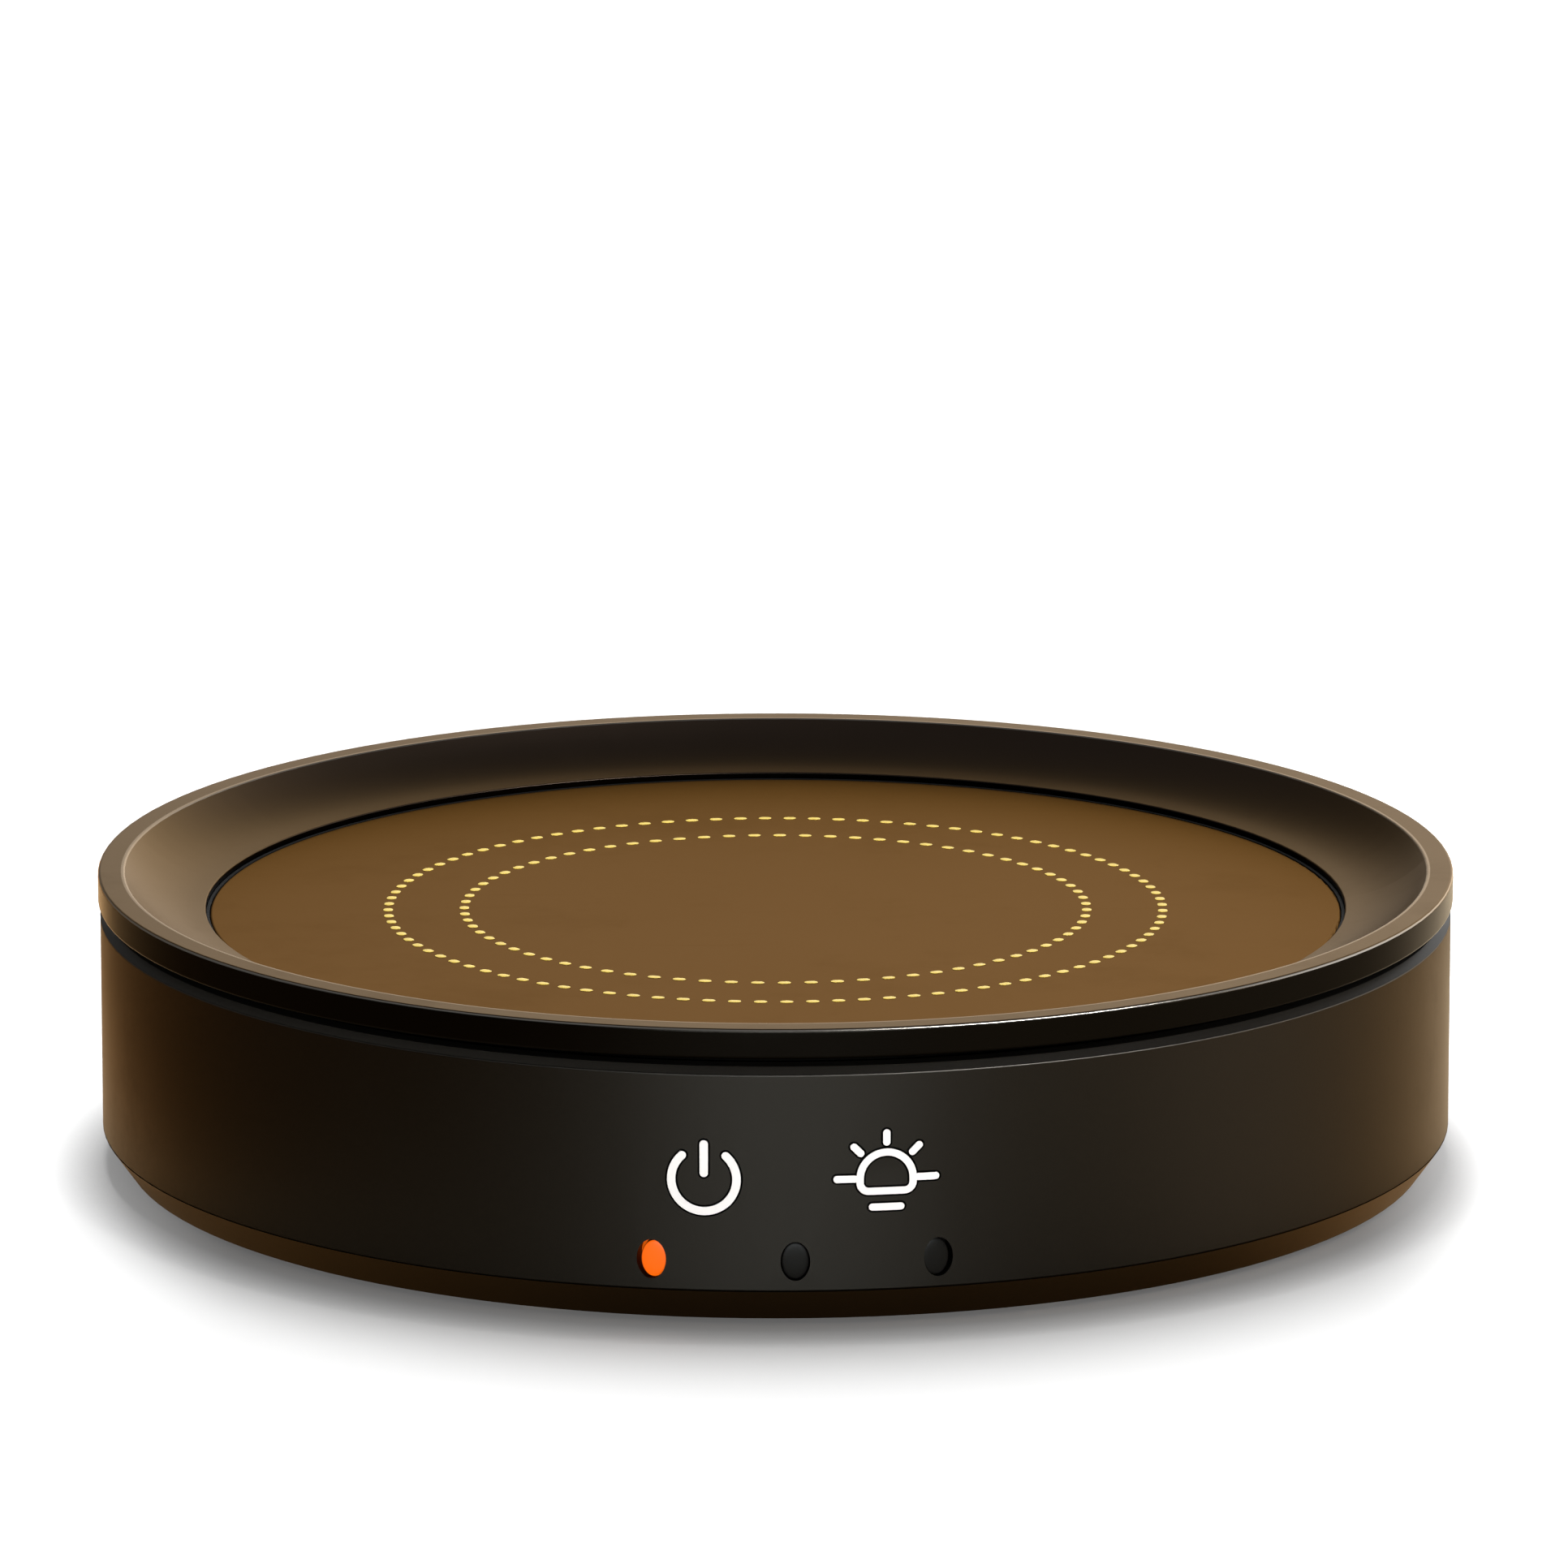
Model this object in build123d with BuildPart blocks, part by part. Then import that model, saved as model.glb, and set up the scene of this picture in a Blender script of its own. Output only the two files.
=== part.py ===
from build123d import *

import os
from math import cos, radians, sin, sqrt

# Electric mug warmer: a dished heating platform that floats on four springs in a round housing.
# A mug's weight sinks the platform by its travel and closes the switch under its middle.
# Millimetres, +Z up. The origin is the middle of the footprint, on the surface that the feet stand on.
# The front, with the two touch symbols, faces -Y. Azimuths start at the front and grow towards +X.

# ---- Outside ----
rim_radius = 65.0
rim_height = 28.5
rim_round = 0.3
lip_round = 0.3
foot_proud = 0.6
rim_overhang = 0.2
wall_thickness = 2.6
bevel_height = 3.1
bevel_inset = 2.2
edge_round = 0.2
snug = 0.05  # radial gap of a fixed fit
running_gap = 0.05  # radial gap of a fit that slides

# ---- Platform: tray, plate and what lies under the plate ----
band_height = 2.85
travel = 0.6
travel_spare = 0.25
lip_width = 2.5
dish_width = 7.8
plate_recess = 4.4
plate_step = 0.6
plate_thickness = 2.0
plate_edge = 0.25
dish_slope = 5.0
pocket_round = 0.15
tray_wall = 2.0
ledge_width = 2.6
skirt_wall = 1.6
skirt_gap = 0.6
skirt_drop = 4.25
seal_wall = 0.3
spreader_inset = 2.1
spreader_thickness = 1.0
heater_inset = 4.0
heater_thickness = 0.6
insulation_thickness = 1.5
insulation_gap = 0.5
retainer_thickness = 1.2
retainer_inset = 1.2
retainer_screw_azimuths = (0.0, 60.0, 120.0, 180.0, 240.0, 300.0)
retainer_screw_radius = 1.0
retainer_screw_length = 3.4
retainer_head_radius = 1.7
retainer_head_height = 1.0

# ---- Guides and springs of the platform ----
guide_azimuths = (45.0, 135.0, 225.0, 315.0)
guide_boss_radius = 3.2
guide_boss_inset = 0.6
guide_boss_gap = 0.4
shoulder_radius = 2.0
guide_thread_radius = 1.5
guide_thread_length = 3.0
guide_head_radius = 3.4
guide_head_height = 1.8
guide_stop_gap = 0.05
hex_socket_radius = 1.3
hex_socket_depth = 1.0
cup_height = 7.3
cup_gap = 0.9
cup_floor = 2.0
cup_wall = 1.4
bush_wall = 1.0
bush_flange_height = 0.6
bush_flange_gap = 0.1
spring_wire = 0.3
spring_turns = 5.5
spring_clearance = 0.5

# ---- Light ring, between the housing and the platform ----
light_chamfer_in = 0.7
light_chamfer_up = 0.6
light_tube_wall = 1.1
light_tube_length = 3.4
light_pocket_gap = 0.1
ring_board_thickness = 0.4
ring_board_width = 1.2
ring_lamp_count = 16
ring_lamp_length = 1.6
ring_lamp_width = 0.8
ring_lamp_height = 0.35
ring_lamp_gap = 0.15
ring_tail_azimuth = 147.0
ring_tail_width = 5.0
ring_tail_reach = 2.6

# ---- Base cover, feet and fasteners ----
cover_floor = 2.0
spigot_height = 2.0
spigot_wall = 1.0
spigot_gap = 0.2
foot_radius = 6.0
foot_inset = 6.6
foot_azimuths = (45.0, 135.0, 225.0, 315.0)
foot_seat_depth = 0.8
label_radius = 21.0
label_depth = 0.3
cover_screw_azimuths = (22.5, 157.5, 202.5, 337.5)
cover_screw_radius = 1.5
cover_screw_length = 9.0
cover_head_radius = 2.8
cover_head_height = 1.6
cover_head_sunk = 0.2
column_radius = 3.4
column_inset = 0.1
column_clearance = 0.2
boss_radius = 4.0
boss_height = 8.1
boss_rib = 2.0
head_gap = 0.3
shank_gap = 0.2
thread_gap = 0.05
pilot_spare = 1.0
slot_width = 0.8
slot_depth = 0.6

# ---- Symbols and windows in the front wall ----
symbol_drop = 9.9
symbol_azimuth = 7.4
symbol_depth = 0.6
symbol_proud = 0.05
symbol_gap = 0.18
power_line = 0.77
power_radius = 3.0
power_opening = 42.0
power_bar_low = 0.6
power_bar_high = 3.3
lamp_line = 0.68
lamp_radius = 2.45
lamp_base_drop = 1.2
lamp_corner = 0.8
lamp_ray_start = 3.05
lamp_ray_end = 4.6
lamp_side_ray_start = 2.6
lamp_side_ray_end = 4.9
lamp_foot_drop = 2.7
lamp_foot_length = 3.3
window_rise = 2.9
window_azimuth = 11.7
window_half_width = 1.22
window_half_length = 1.7
window_gap = 0.14
window_sunk = 0.15
window_flange = 0.6
window_flange_thickness = 0.8
window_tail = 0.4
window_notch = 6.0
wall_face_gap = 0.1

# ---- Front board, behind the symbols and windows ----
front_board_gap = 3.8
front_board_thickness = 1.2
front_board_bottom = 4.4
front_board_margin = 0.5
post_width = 3.0
post_depth = 4.0
post_front = 0.7
post_height = 6.4
board_slot_gap = 0.1
touch_pad_radius = 3.4
indicator_lamp_width = 2.8
indicator_lamp_depth = 0.8
indicator_lamp_height = 2.0

# ---- Control board and the parts on it ----
board_length = 64.0
board_width = 46.0
board_corner = 2.0
board_thickness = 1.6
board_lift = 2.4
board_hole_inset = 3.5
standoff_radius = 3.0
board_screw_radius = 1.2
board_screw_length = 4.6
board_screw_head_radius = 2.2
board_screw_head_height = 1.3
header_length = 7.0
header_depth = 5.0
header_height = 3.0
heater_header_at = (-20.0, 0.0)
cutout_header_at = (-8.0, 14.0)
thermistor_header_at = (13.0, 0.0)
front_header_inset = 5.0
ring_header_inset_x = 8.0
ring_header_inset_y = 11.0
power_header_x = 3.0
power_header_inset = 4.0
chip_at = (10.0, -12.0)
chip_length = 8.0
chip_width = 6.0
chip_height = 1.6
transistor_inset_x = 13.0
transistor_inset_y = 12.0
transistor_length = 10.0
transistor_width = 9.0
transistor_height = 4.4
transistor_tab = 4.0
transistor_tab_height = 1.3
capacitor_inset_x = 10.0
capacitor_inset_y = 12.0
capacitor_radius = 4.0
capacitor_height = 7.0

# ---- Weight switch ----
switch_length = 12.8
switch_width = 5.8
switch_height = 6.6
plunger_radius = 1.2
plunger_proud = 0.9
plunger_length = 2.7
plunger_well = 3.5
plunger_dome = 0.5
actuator_radius = 2.5
actuator_gap = 0.05

# ---- Sensors, terminals and wires ----
thermistor_radius = 2.0
thermistor_length = 3.9
cutout_radius = 3.5
cutout_length = 3.7
sensor_hole_gap = 0.4
terminal_width = 4.8
terminal_thickness = 0.8
terminal_length = 3.5
terminal_spread = 5.0
terminal_gap = 0.6
lead_radius = 0.9
thin_lead_radius = 0.45
lead_bend = 0.8
lead_jog = 2.0
lead_rise = 1.4
lead_pitch = 2.4
thin_lead_pitch = 1.4
lead_stub = 4.0
lead_droop = 3.2
front_lead_count = 4
ring_lead_inset = 0.9

# ---- Power socket in the rear wall ----
socket_drop = 2.7  # below the retainer, clear of its screws as they sink
socket_width = 9.0
socket_depth = 11.0
socket_tall = 9.0
socket_nose_radius = 4.2
socket_nose_gap = 0.1
socket_sunk = 0.5
socket_bore_radius = 3.1
socket_bore_depth = 9.0
socket_pin_radius = 1.0
socket_pin_length = 8.0
socket_pin_tip = 0.3
socket_pin_tail = 1.6
socket_pin_tail_radius = 0.7
socket_spigot_gap = 0.1
socket_tab_width = 2.0
socket_tab_thickness = 0.5
socket_tab_length = 4.0
socket_tab_root = 1.0
socket_tab_spread = 2.6

# ---- Levels and radii that follow ----
wall_radius = rim_radius - rim_overhang
cover_seam = foot_proud + bevel_height
floor_top = foot_proud + cover_floor
wall_inside = wall_radius - wall_thickness
band_bottom = rim_height - band_height
light_top = band_bottom - travel - travel_spare
wall_top = light_top - light_chamfer_up
light_inside = wall_inside + 2 * light_pocket_gap
light_outside = light_inside + light_tube_wall
light_pocket = light_outside + light_pocket_gap
tube_bottom = wall_top - light_tube_length
ring_ledge = tube_bottom - ring_lamp_gap - ring_lamp_height - ring_board_thickness
ring_board_middle = (light_pocket + wall_inside) / 2
plate_top = rim_height - plate_recess
plate_bottom = plate_top - plate_thickness
dish_edge = plate_top + plate_step
lip_radius = rim_radius - lip_width
pocket_radius = lip_radius - dish_width
plate_radius = pocket_radius - seal_wall - 2 * snug
ledge_radius = pocket_radius - ledge_width
spreader_radius = ledge_radius - spreader_inset
heater_radius = spreader_radius - heater_inset
seal_bottom = plate_bottom - seal_wall
heater_top = plate_bottom - spreader_thickness
heater_bottom = heater_top - heater_thickness
retainer_top = heater_bottom - insulation_thickness
retainer_bottom = retainer_top - retainer_thickness
skirt_outside = light_inside - skirt_gap
skirt_inside = skirt_outside - skirt_wall
skirt_bottom = band_bottom - skirt_drop
tray_inner_wall = pocket_radius + tray_wall
retainer_radius = tray_inner_wall - retainer_inset
retainer_screw_circle = (ledge_radius + tray_inner_wall) / 2
guide_circle = skirt_outside - guide_boss_radius - guide_boss_inset
guide_boss_bottom = retainer_bottom
spring_radius = guide_boss_radius - spring_wire
cup_bottom = retainer_bottom - travel - cup_gap - cup_height
cup_inside = guide_boss_radius + spring_clearance
cup_outside = cup_inside + cup_wall
cup_floor_top = cup_bottom + cup_floor
bush_inside = shoulder_radius + running_gap
bush_outside = bush_inside + bush_wall
spring_seat = cup_floor_top + bush_flange_height
spring_length = guide_boss_bottom - spring_seat
guide_head_top = cup_bottom - guide_stop_gap
spigot_outside = wall_inside - spigot_gap
spigot_inside = spigot_outside - spigot_wall
spigot_top = cover_seam + spigot_height
column_top = spigot_top + column_clearance
cover_screw_circle = spigot_outside - column_radius - column_inset
foot_circle = wall_radius - bevel_inset - foot_radius - foot_inset
cover_head_bottom = foot_proud + cover_head_sunk
cover_head_top = cover_head_bottom + cover_head_height
board_bottom = floor_top + board_lift
board_top = board_bottom + board_thickness
board_hole_x = board_length - 2 * board_hole_inset
board_hole_y = board_width - 2 * board_hole_inset
header_top = board_top + header_height
front_header_at = (0.0, front_header_inset - board_width / 2)
ring_header_at = (board_length / 2 - ring_header_inset_x, board_width / 2 - ring_header_inset_y)
power_header_at = (power_header_x, board_width / 2 - power_header_inset)
transistor_at = (transistor_inset_x - board_length / 2, transistor_inset_y - board_width / 2)
capacitor_at = (board_length / 2 - capacitor_inset_x, capacitor_inset_y - board_width / 2)
switch_top = board_top + switch_height
plunger_top = switch_top + plunger_proud
symbol_height = wall_top - symbol_drop
window_height = cover_seam + window_rise
window_back = wall_inside - wall_face_gap
window_lamp_x = window_back * sin(radians(window_azimuth))
front_board_face = wall_inside - front_board_gap
front_board_top = symbol_height + touch_pad_radius + front_board_margin
front_board_width = 2 * (window_lamp_x + indicator_lamp_width / 2 + front_board_margin + post_width)
socket_height = retainer_bottom - socket_drop - socket_tall / 2
socket_face = wall_radius - socket_sunk
socket_front = spigot_inside - socket_spigot_gap
socket_rear = socket_front - socket_depth
socket_bottom = socket_height - socket_tall / 2

guide_places = [(azimuth, guide_circle) for azimuth in guide_azimuths]
cover_screw_places = [(azimuth, cover_screw_circle) for azimuth in cover_screw_azimuths]
foot_places = [(azimuth, foot_circle) for azimuth in foot_azimuths]
retainer_screw_places = [(azimuth, retainer_screw_circle) for azimuth in retainer_screw_azimuths]

# The dish is a round trough: its section is an arc that leaves the plate at dish_slope and ends at the lip.
dish_run = lip_radius - pocket_radius
dish_rise = rim_height - dish_edge
dish_turn = dish_rise * cos(radians(dish_slope)) - dish_run * sin(radians(dish_slope))
dish_bend = (dish_run**2 + dish_rise**2) / (2 * dish_turn)
dish_centre_radius = pocket_radius - dish_bend * sin(radians(dish_slope))
dish_centre_height = dish_edge + dish_bend * cos(radians(dish_slope))


def dish_point(radius, below=0.0):
    """The point at a radius on the dish's section, or on the arc that lies a wall below it."""
    drop = sqrt((dish_bend + below) ** 2 - (radius - dish_centre_radius) ** 2)
    return (radius, dish_centre_height - drop)


def around(azimuth, radius):
    """The plan position at an azimuth and a radius."""
    return (radius * sin(radians(azimuth)), -radius * cos(radians(azimuth)))


def at(places):
    """Plan positions of a list of (azimuth, radius) places."""
    return [around(*place) for place in places]


def wall_plane(azimuth, height, radius):
    """A plane on the wall: its x runs to the right along the wall, its y up, and its normal outwards."""
    x, y = around(azimuth, radius)
    outwards = (sin(radians(azimuth)), -cos(radians(azimuth)), 0)
    sideways = (cos(radians(azimuth)), sin(radians(azimuth)), 0)
    return Plane(origin=(x, y, height), x_dir=sideways, z_dir=outwards)


def section(corners):
    """A closed section in the XZ plane, from its (radius, height) corners."""
    with BuildSketch(Plane.XZ) as outline:
        with BuildLine():
            Polyline(*corners, close=True)
        make_face()
    return outline.sketch


def discs(places, radius, height):
    """A disc at each (azimuth, radius) place, at a height."""
    with BuildSketch(Plane.XY.offset(height)) as outline:
        with Locations(*at(places)):
            Circle(radius)
    return outline.sketch


def run_wire(points, radius):
    """Adds a wire to the part in hand: straight runs joined by tangent arcs."""
    with BuildLine() as route:
        FilletPolyline(*points, radius=lead_bend)
    with BuildSketch(Plane(origin=route.line @ 0, z_dir=route.line % 0)) as outline:
        Circle(radius)
    sweep(outline.sketch, path=route.line)


def save(solid, label):
    """Labels a finished piece and writes it to its own file."""
    solid.label = label
    export_step(solid, f"parts/{label}.step")


os.makedirs("parts", exist_ok=True)

# ================= Symbols and windows in the front wall =================


def draw_power_sign(grow):
    """The power sign, in the sketch in hand: an open ring with a bar in its gap."""
    line = power_line + 2 * grow
    with BuildLine(mode=Mode.PRIVATE) as ring:
        CenterArc((0, 0), power_radius, 90 + power_opening, 360 - 2 * power_opening)
    SlotArc(ring.edges()[0], line)
    with Locations((0, (power_bar_low + power_bar_high) / 2)):
        SlotCenterToCenter(power_bar_high - power_bar_low, line, rotation=90)


def draw_lamp_sign(grow):
    """The lamp sign, in the sketch in hand: a dome with five rays over a foot line."""
    line = lamp_line + 2 * grow
    for side, mode in ((line / 2, Mode.ADD), (-line / 2, Mode.SUBTRACT)):
        half = lamp_radius + side
        drop = lamp_base_drop + side
        with BuildSketch(mode=Mode.PRIVATE) as dome:
            with BuildLine():
                CenterArc((0, 0), half, 0, 180)
                FilletPolyline((-half, 0), (-half, -drop), (half, -drop), (half, 0), radius=lamp_corner + side)
            make_face()
        add(dome.sketch, mode=mode)
    for angle in (45, 90, 135):
        with PolarLocations((lamp_ray_start + lamp_ray_end) / 2, 1, start_angle=angle):
            SlotOverall(lamp_ray_end - lamp_ray_start + 2 * grow, line)
    for side in (-1, 1):
        with Locations((side * (lamp_side_ray_start + lamp_side_ray_end) / 2, 0)):
            SlotOverall(lamp_side_ray_end - lamp_side_ray_start + 2 * grow, line)
    with Locations((0, -lamp_foot_drop)):
        SlotOverall(lamp_foot_length + 2 * grow, line)


def wall_inlay(draw_sign, azimuth, grow, outside):
    """A sign as a curved layer in the wall's surface, out to a radius."""
    with BuildPart() as inlay:
        with BuildSketch(wall_plane(azimuth, symbol_height, wall_radius)):
            draw_sign(grow)
        extrude(amount=wall_thickness, both=True)
        with BuildSketch(Plane.XY.offset(foot_proud)):
            Circle(outside)
            Circle(wall_radius - symbol_depth, mode=Mode.SUBTRACT)
        extrude(amount=rim_height, mode=Mode.INTERSECT)
    return inlay.part


power_symbol = wall_inlay(draw_power_sign, -symbol_azimuth, 0, wall_radius + symbol_proud)
save(power_symbol, "power_symbol")
lamp_symbol = wall_inlay(draw_lamp_sign, symbol_azimuth, 0, wall_radius + symbol_proud)
save(lamp_symbol, "lamp_symbol")
sign_pockets = [
    wall_inlay(draw_power_sign, -symbol_azimuth, symbol_gap, wall_radius + wall_thickness),
    wall_inlay(draw_lamp_sign, symbol_azimuth, symbol_gap, wall_radius + wall_thickness),
]

windows = {
    "low_heat_window": -window_azimuth,
    "medium_heat_window": 0.0,
    "high_heat_window": window_azimuth,
}


def window_oval(azimuth, inwards, grow):
    """An upright oval on the wall, as far inwards from the window's back face as asked."""
    with BuildSketch(wall_plane(azimuth, window_height, window_back - inwards)) as oval:
        Ellipse(window_half_width + grow, window_half_length + grow)
    return oval.sketch


for window_name, azimuth in windows.items():
    with BuildPart() as window:
        extrude(window_oval(azimuth, 0, 0), amount=wall_thickness)
        with BuildSketch(Plane.XY.offset(foot_proud)):
            Circle(wall_radius - window_sunk)
        extrude(amount=rim_height, mode=Mode.INTERSECT)
        extrude(window_oval(azimuth, 0, window_flange), amount=-window_flange_thickness)
        extrude(window_oval(azimuth, window_flange_thickness, 0), amount=-window_tail)
    save(window.part, window_name)

# ================= Housing =================

with BuildPart() as housing:
    revolve(
        section(
            [
                (wall_inside, cover_seam),
                (wall_radius, cover_seam),
                (wall_radius, wall_top),
                (light_pocket, wall_top),
                (light_pocket, ring_ledge),
                (wall_inside, ring_ledge),
            ]
        ),
        axis=Axis.Z,
    )
    outer_edges = housing.edges().filter_by(GeomType.CIRCLE).group_by(SortBy.RADIUS)[-1]
    fillet(outer_edges, edge_round)
    # Spring cups, each merged with the wall beside it.
    extrude(discs(guide_places, cup_outside, cup_bottom), amount=cup_height)
    # Screw bosses for the base cover, each on a rib from the wall.
    with BuildSketch(Plane.XY.offset(column_top)):
        with Locations(*at(cover_screw_places)):
            Circle(boss_radius)
        for azimuth in cover_screw_azimuths:
            rib_end = wall_inside + snug
            with Locations(around(azimuth, (cover_screw_circle + rib_end) / 2)):
                Rectangle(rib_end - cover_screw_circle, boss_rib, rotation=azimuth - 90)
    extrude(amount=boss_height)
    extrude(discs(guide_places, cup_inside, cup_floor_top), amount=cup_height, mode=Mode.SUBTRACT)
    extrude(discs(guide_places, bush_outside + snug, cup_bottom), amount=cup_floor, mode=Mode.SUBTRACT)
    pilot_depth = cover_head_top + cover_screw_length + pilot_spare - column_top
    pilot_holes = discs(cover_screw_places, cover_screw_radius + thread_gap, column_top)
    extrude(pilot_holes, amount=pilot_depth, mode=Mode.SUBTRACT)
    # Holes for the windows and the power socket, and pockets for the symbols.
    for azimuth in windows.values():
        extrude(window_oval(azimuth, 0, window_gap), amount=2 * wall_thickness, mode=Mode.SUBTRACT)
    with BuildSketch(wall_plane(180, socket_height, socket_front)):
        Circle(socket_nose_radius + socket_nose_gap)
    extrude(amount=2 * wall_thickness, mode=Mode.SUBTRACT)
    for pocket in sign_pockets:
        add(pocket, mode=Mode.SUBTRACT)
save(housing.part, "housing")

# ================= Base cover, feet and cover screws =================

with BuildPart() as base_cover:
    revolve(
        section(
            [
                (0, foot_proud),
                (wall_radius - bevel_inset, foot_proud),
                (wall_radius, cover_seam),
                (spigot_outside, cover_seam),
                (spigot_outside, spigot_top),
                (spigot_inside, spigot_top),
                (spigot_inside, floor_top),
                (0, floor_top),
            ]
        ),
        axis=Axis.Z,
    )
    extrude(discs(cover_screw_places, column_radius, floor_top), amount=column_top - floor_top)
    # Standoffs under the control board.
    with BuildSketch(Plane.XY.offset(floor_top)):
        with GridLocations(board_hole_x, board_hole_y, 2, 2):
            Circle(standoff_radius)
    extrude(amount=board_lift)
    # Slotted posts that hold the front board upright.
    with BuildSketch(Plane.XY.offset(floor_top)):
        with Locations((0, post_depth / 2 - front_board_face - post_front)):
            with GridLocations(front_board_width - post_width, 1, 2, 1):
                Rectangle(post_width, post_depth)
    extrude(amount=post_height)
    with BuildSketch(Plane.XY.offset(front_board_bottom)):
        with Locations((0, front_board_thickness / 2 - front_board_face)):
            Rectangle(front_board_width + 2 * board_slot_gap, front_board_thickness + 2 * board_slot_gap)
    extrude(amount=post_height, mode=Mode.SUBTRACT)
    # Notch in the spigot behind the windows.
    with BuildSketch(Plane.XY.offset(cover_seam)):
        with Locations((0, -spigot_outside)):
            Rectangle(2 * window_lamp_x + window_notch, window_notch)
    extrude(amount=spigot_height, mode=Mode.SUBTRACT)
    # Cradle under the power socket.
    with BuildSketch(Plane.XY.offset(floor_top)):
        with Locations((0, socket_front - socket_depth / 2)):
            Rectangle(socket_width, socket_depth)
    extrude(amount=socket_bottom - floor_top)
    # Screw holes, foot seats and the bare label panel, from below.
    extrude(
        discs(cover_screw_places, cover_screw_radius + shank_gap, foot_proud),
        amount=column_top,
        mode=Mode.SUBTRACT,
    )
    extrude(
        discs(cover_screw_places, cover_head_radius + head_gap, foot_proud),
        amount=cover_head_top - foot_proud,
        mode=Mode.SUBTRACT,
    )
    extrude(discs(foot_places, foot_radius + snug, foot_proud), amount=foot_seat_depth, mode=Mode.SUBTRACT)
    with BuildSketch(Plane.XY.offset(foot_proud)):
        Circle(label_radius)
    extrude(amount=label_depth, mode=Mode.SUBTRACT)
    with BuildSketch(Plane.XY.offset(board_bottom)):
        with GridLocations(board_hole_x, board_hole_y, 2, 2):
            Circle(board_screw_radius + thread_gap)
    extrude(amount=board_thickness - board_screw_length, mode=Mode.SUBTRACT)
save(base_cover.part, "base_cover")

with BuildPart() as feet:
    extrude(discs(foot_places, foot_radius, 0), amount=foot_proud + foot_seat_depth)
    fillet(feet.edges().group_by(Axis.Z)[0], foot_proud / 2)
save(feet.part, "feet")

with BuildPart() as cover_screws:
    extrude(discs(cover_screw_places, cover_head_radius, cover_head_bottom), amount=cover_head_height)
    extrude(discs(cover_screw_places, cover_screw_radius, cover_head_top), amount=cover_screw_length)
    with BuildSketch(Plane.XY.offset(cover_head_bottom)):
        with Locations(*at(cover_screw_places)):
            Rectangle(cover_head_radius * sqrt(2), slot_width)
            Rectangle(slot_width, cover_head_radius * sqrt(2))
    extrude(amount=slot_depth, mode=Mode.SUBTRACT)
save(cover_screws.part, "cover_screws")

# ================= Light ring and its lamps =================

with BuildPart() as light_ring:
    revolve(
        section(
            [
                (light_inside, tube_bottom),
                (light_outside, tube_bottom),
                (light_outside, wall_top),
                (wall_radius, wall_top),
                (wall_radius - light_chamfer_in, light_top),
                (light_inside, light_top),
            ]
        ),
        axis=Axis.Z,
    )
save(light_ring.part, "light_ring")

with BuildPart() as ring_board:
    with BuildSketch(Plane.XY.offset(ring_ledge)):
        Circle(ring_board_middle + ring_board_width / 2)
        Circle(ring_board_middle - ring_board_width / 2, mode=Mode.SUBTRACT)
        with Locations(around(ring_tail_azimuth, ring_board_middle - ring_tail_reach / 2)):
            Rectangle(ring_tail_reach, ring_tail_width, rotation=ring_tail_azimuth - 90)
    extrude(amount=ring_board_thickness)
save(ring_board.part, "ring_board")

with BuildPart() as ring_lamps:
    with BuildSketch(Plane.XY.offset(ring_ledge + ring_board_thickness)):
        with PolarLocations(ring_board_middle, ring_lamp_count):
            Rectangle(ring_lamp_width, ring_lamp_length)
    extrude(amount=ring_lamp_height)
save(ring_lamps.part, "ring_lamps")

# ================= Front board, touch pads and indicator lamps =================

with BuildPart() as front_board:
    with BuildSketch(Plane.XY.offset(front_board_bottom)):
        with Locations((0, front_board_thickness / 2 - front_board_face)):
            Rectangle(front_board_width, front_board_thickness)
    extrude(amount=front_board_top - front_board_bottom)
save(front_board.part, "front_board")

with BuildPart() as touch_pads:
    pad_spread = 2 * wall_inside * sin(radians(symbol_azimuth))
    with BuildSketch(Plane.XZ.offset(front_board_face)):
        with Locations((0, symbol_height)):
            with GridLocations(pad_spread, 1, 2, 1):
                Circle(touch_pad_radius)
    extrude(amount=wall_radius - front_board_face)
    with BuildSketch():
        Circle(wall_inside - snug)
    extrude(amount=rim_height, mode=Mode.INTERSECT)
save(touch_pads.part, "touch_pads")

with BuildPart() as indicator_lamps:
    with BuildSketch(Plane.XZ.offset(front_board_face)):
        with Locations((0, window_height)):
            with GridLocations(window_lamp_x, 1, 3, 1):
                Rectangle(indicator_lamp_width, indicator_lamp_height)
    extrude(amount=indicator_lamp_depth)
save(indicator_lamps.part, "indicator_lamps")

# ================= Control board and the parts on it =================

with BuildPart() as control_board:
    with BuildSketch(Plane.XY.offset(board_bottom)):
        RectangleRounded(board_length, board_width, board_corner)
        with GridLocations(board_hole_x, board_hole_y, 2, 2):
            Circle(board_screw_radius + shank_gap, mode=Mode.SUBTRACT)
    extrude(amount=board_thickness)
save(control_board.part, "control_board")

with BuildPart() as board_screws:
    with BuildSketch(Plane.XY.offset(board_top)):
        with GridLocations(board_hole_x, board_hole_y, 2, 2):
            Circle(board_screw_head_radius)
    extrude(amount=board_screw_head_height)
    with BuildSketch(Plane.XY.offset(board_top)):
        with GridLocations(board_hole_x, board_hole_y, 2, 2):
            Circle(board_screw_radius)
    extrude(amount=-board_screw_length)
save(board_screws.part, "board_screws")

with BuildPart() as wire_headers:
    with BuildSketch(Plane.XY.offset(board_top)):
        with Locations(
            heater_header_at,
            cutout_header_at,
            thermistor_header_at,
            front_header_at,
            ring_header_at,
            power_header_at,
        ):
            Rectangle(header_length, header_depth)
    extrude(amount=header_height)
save(wire_headers.part, "wire_headers")

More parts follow.
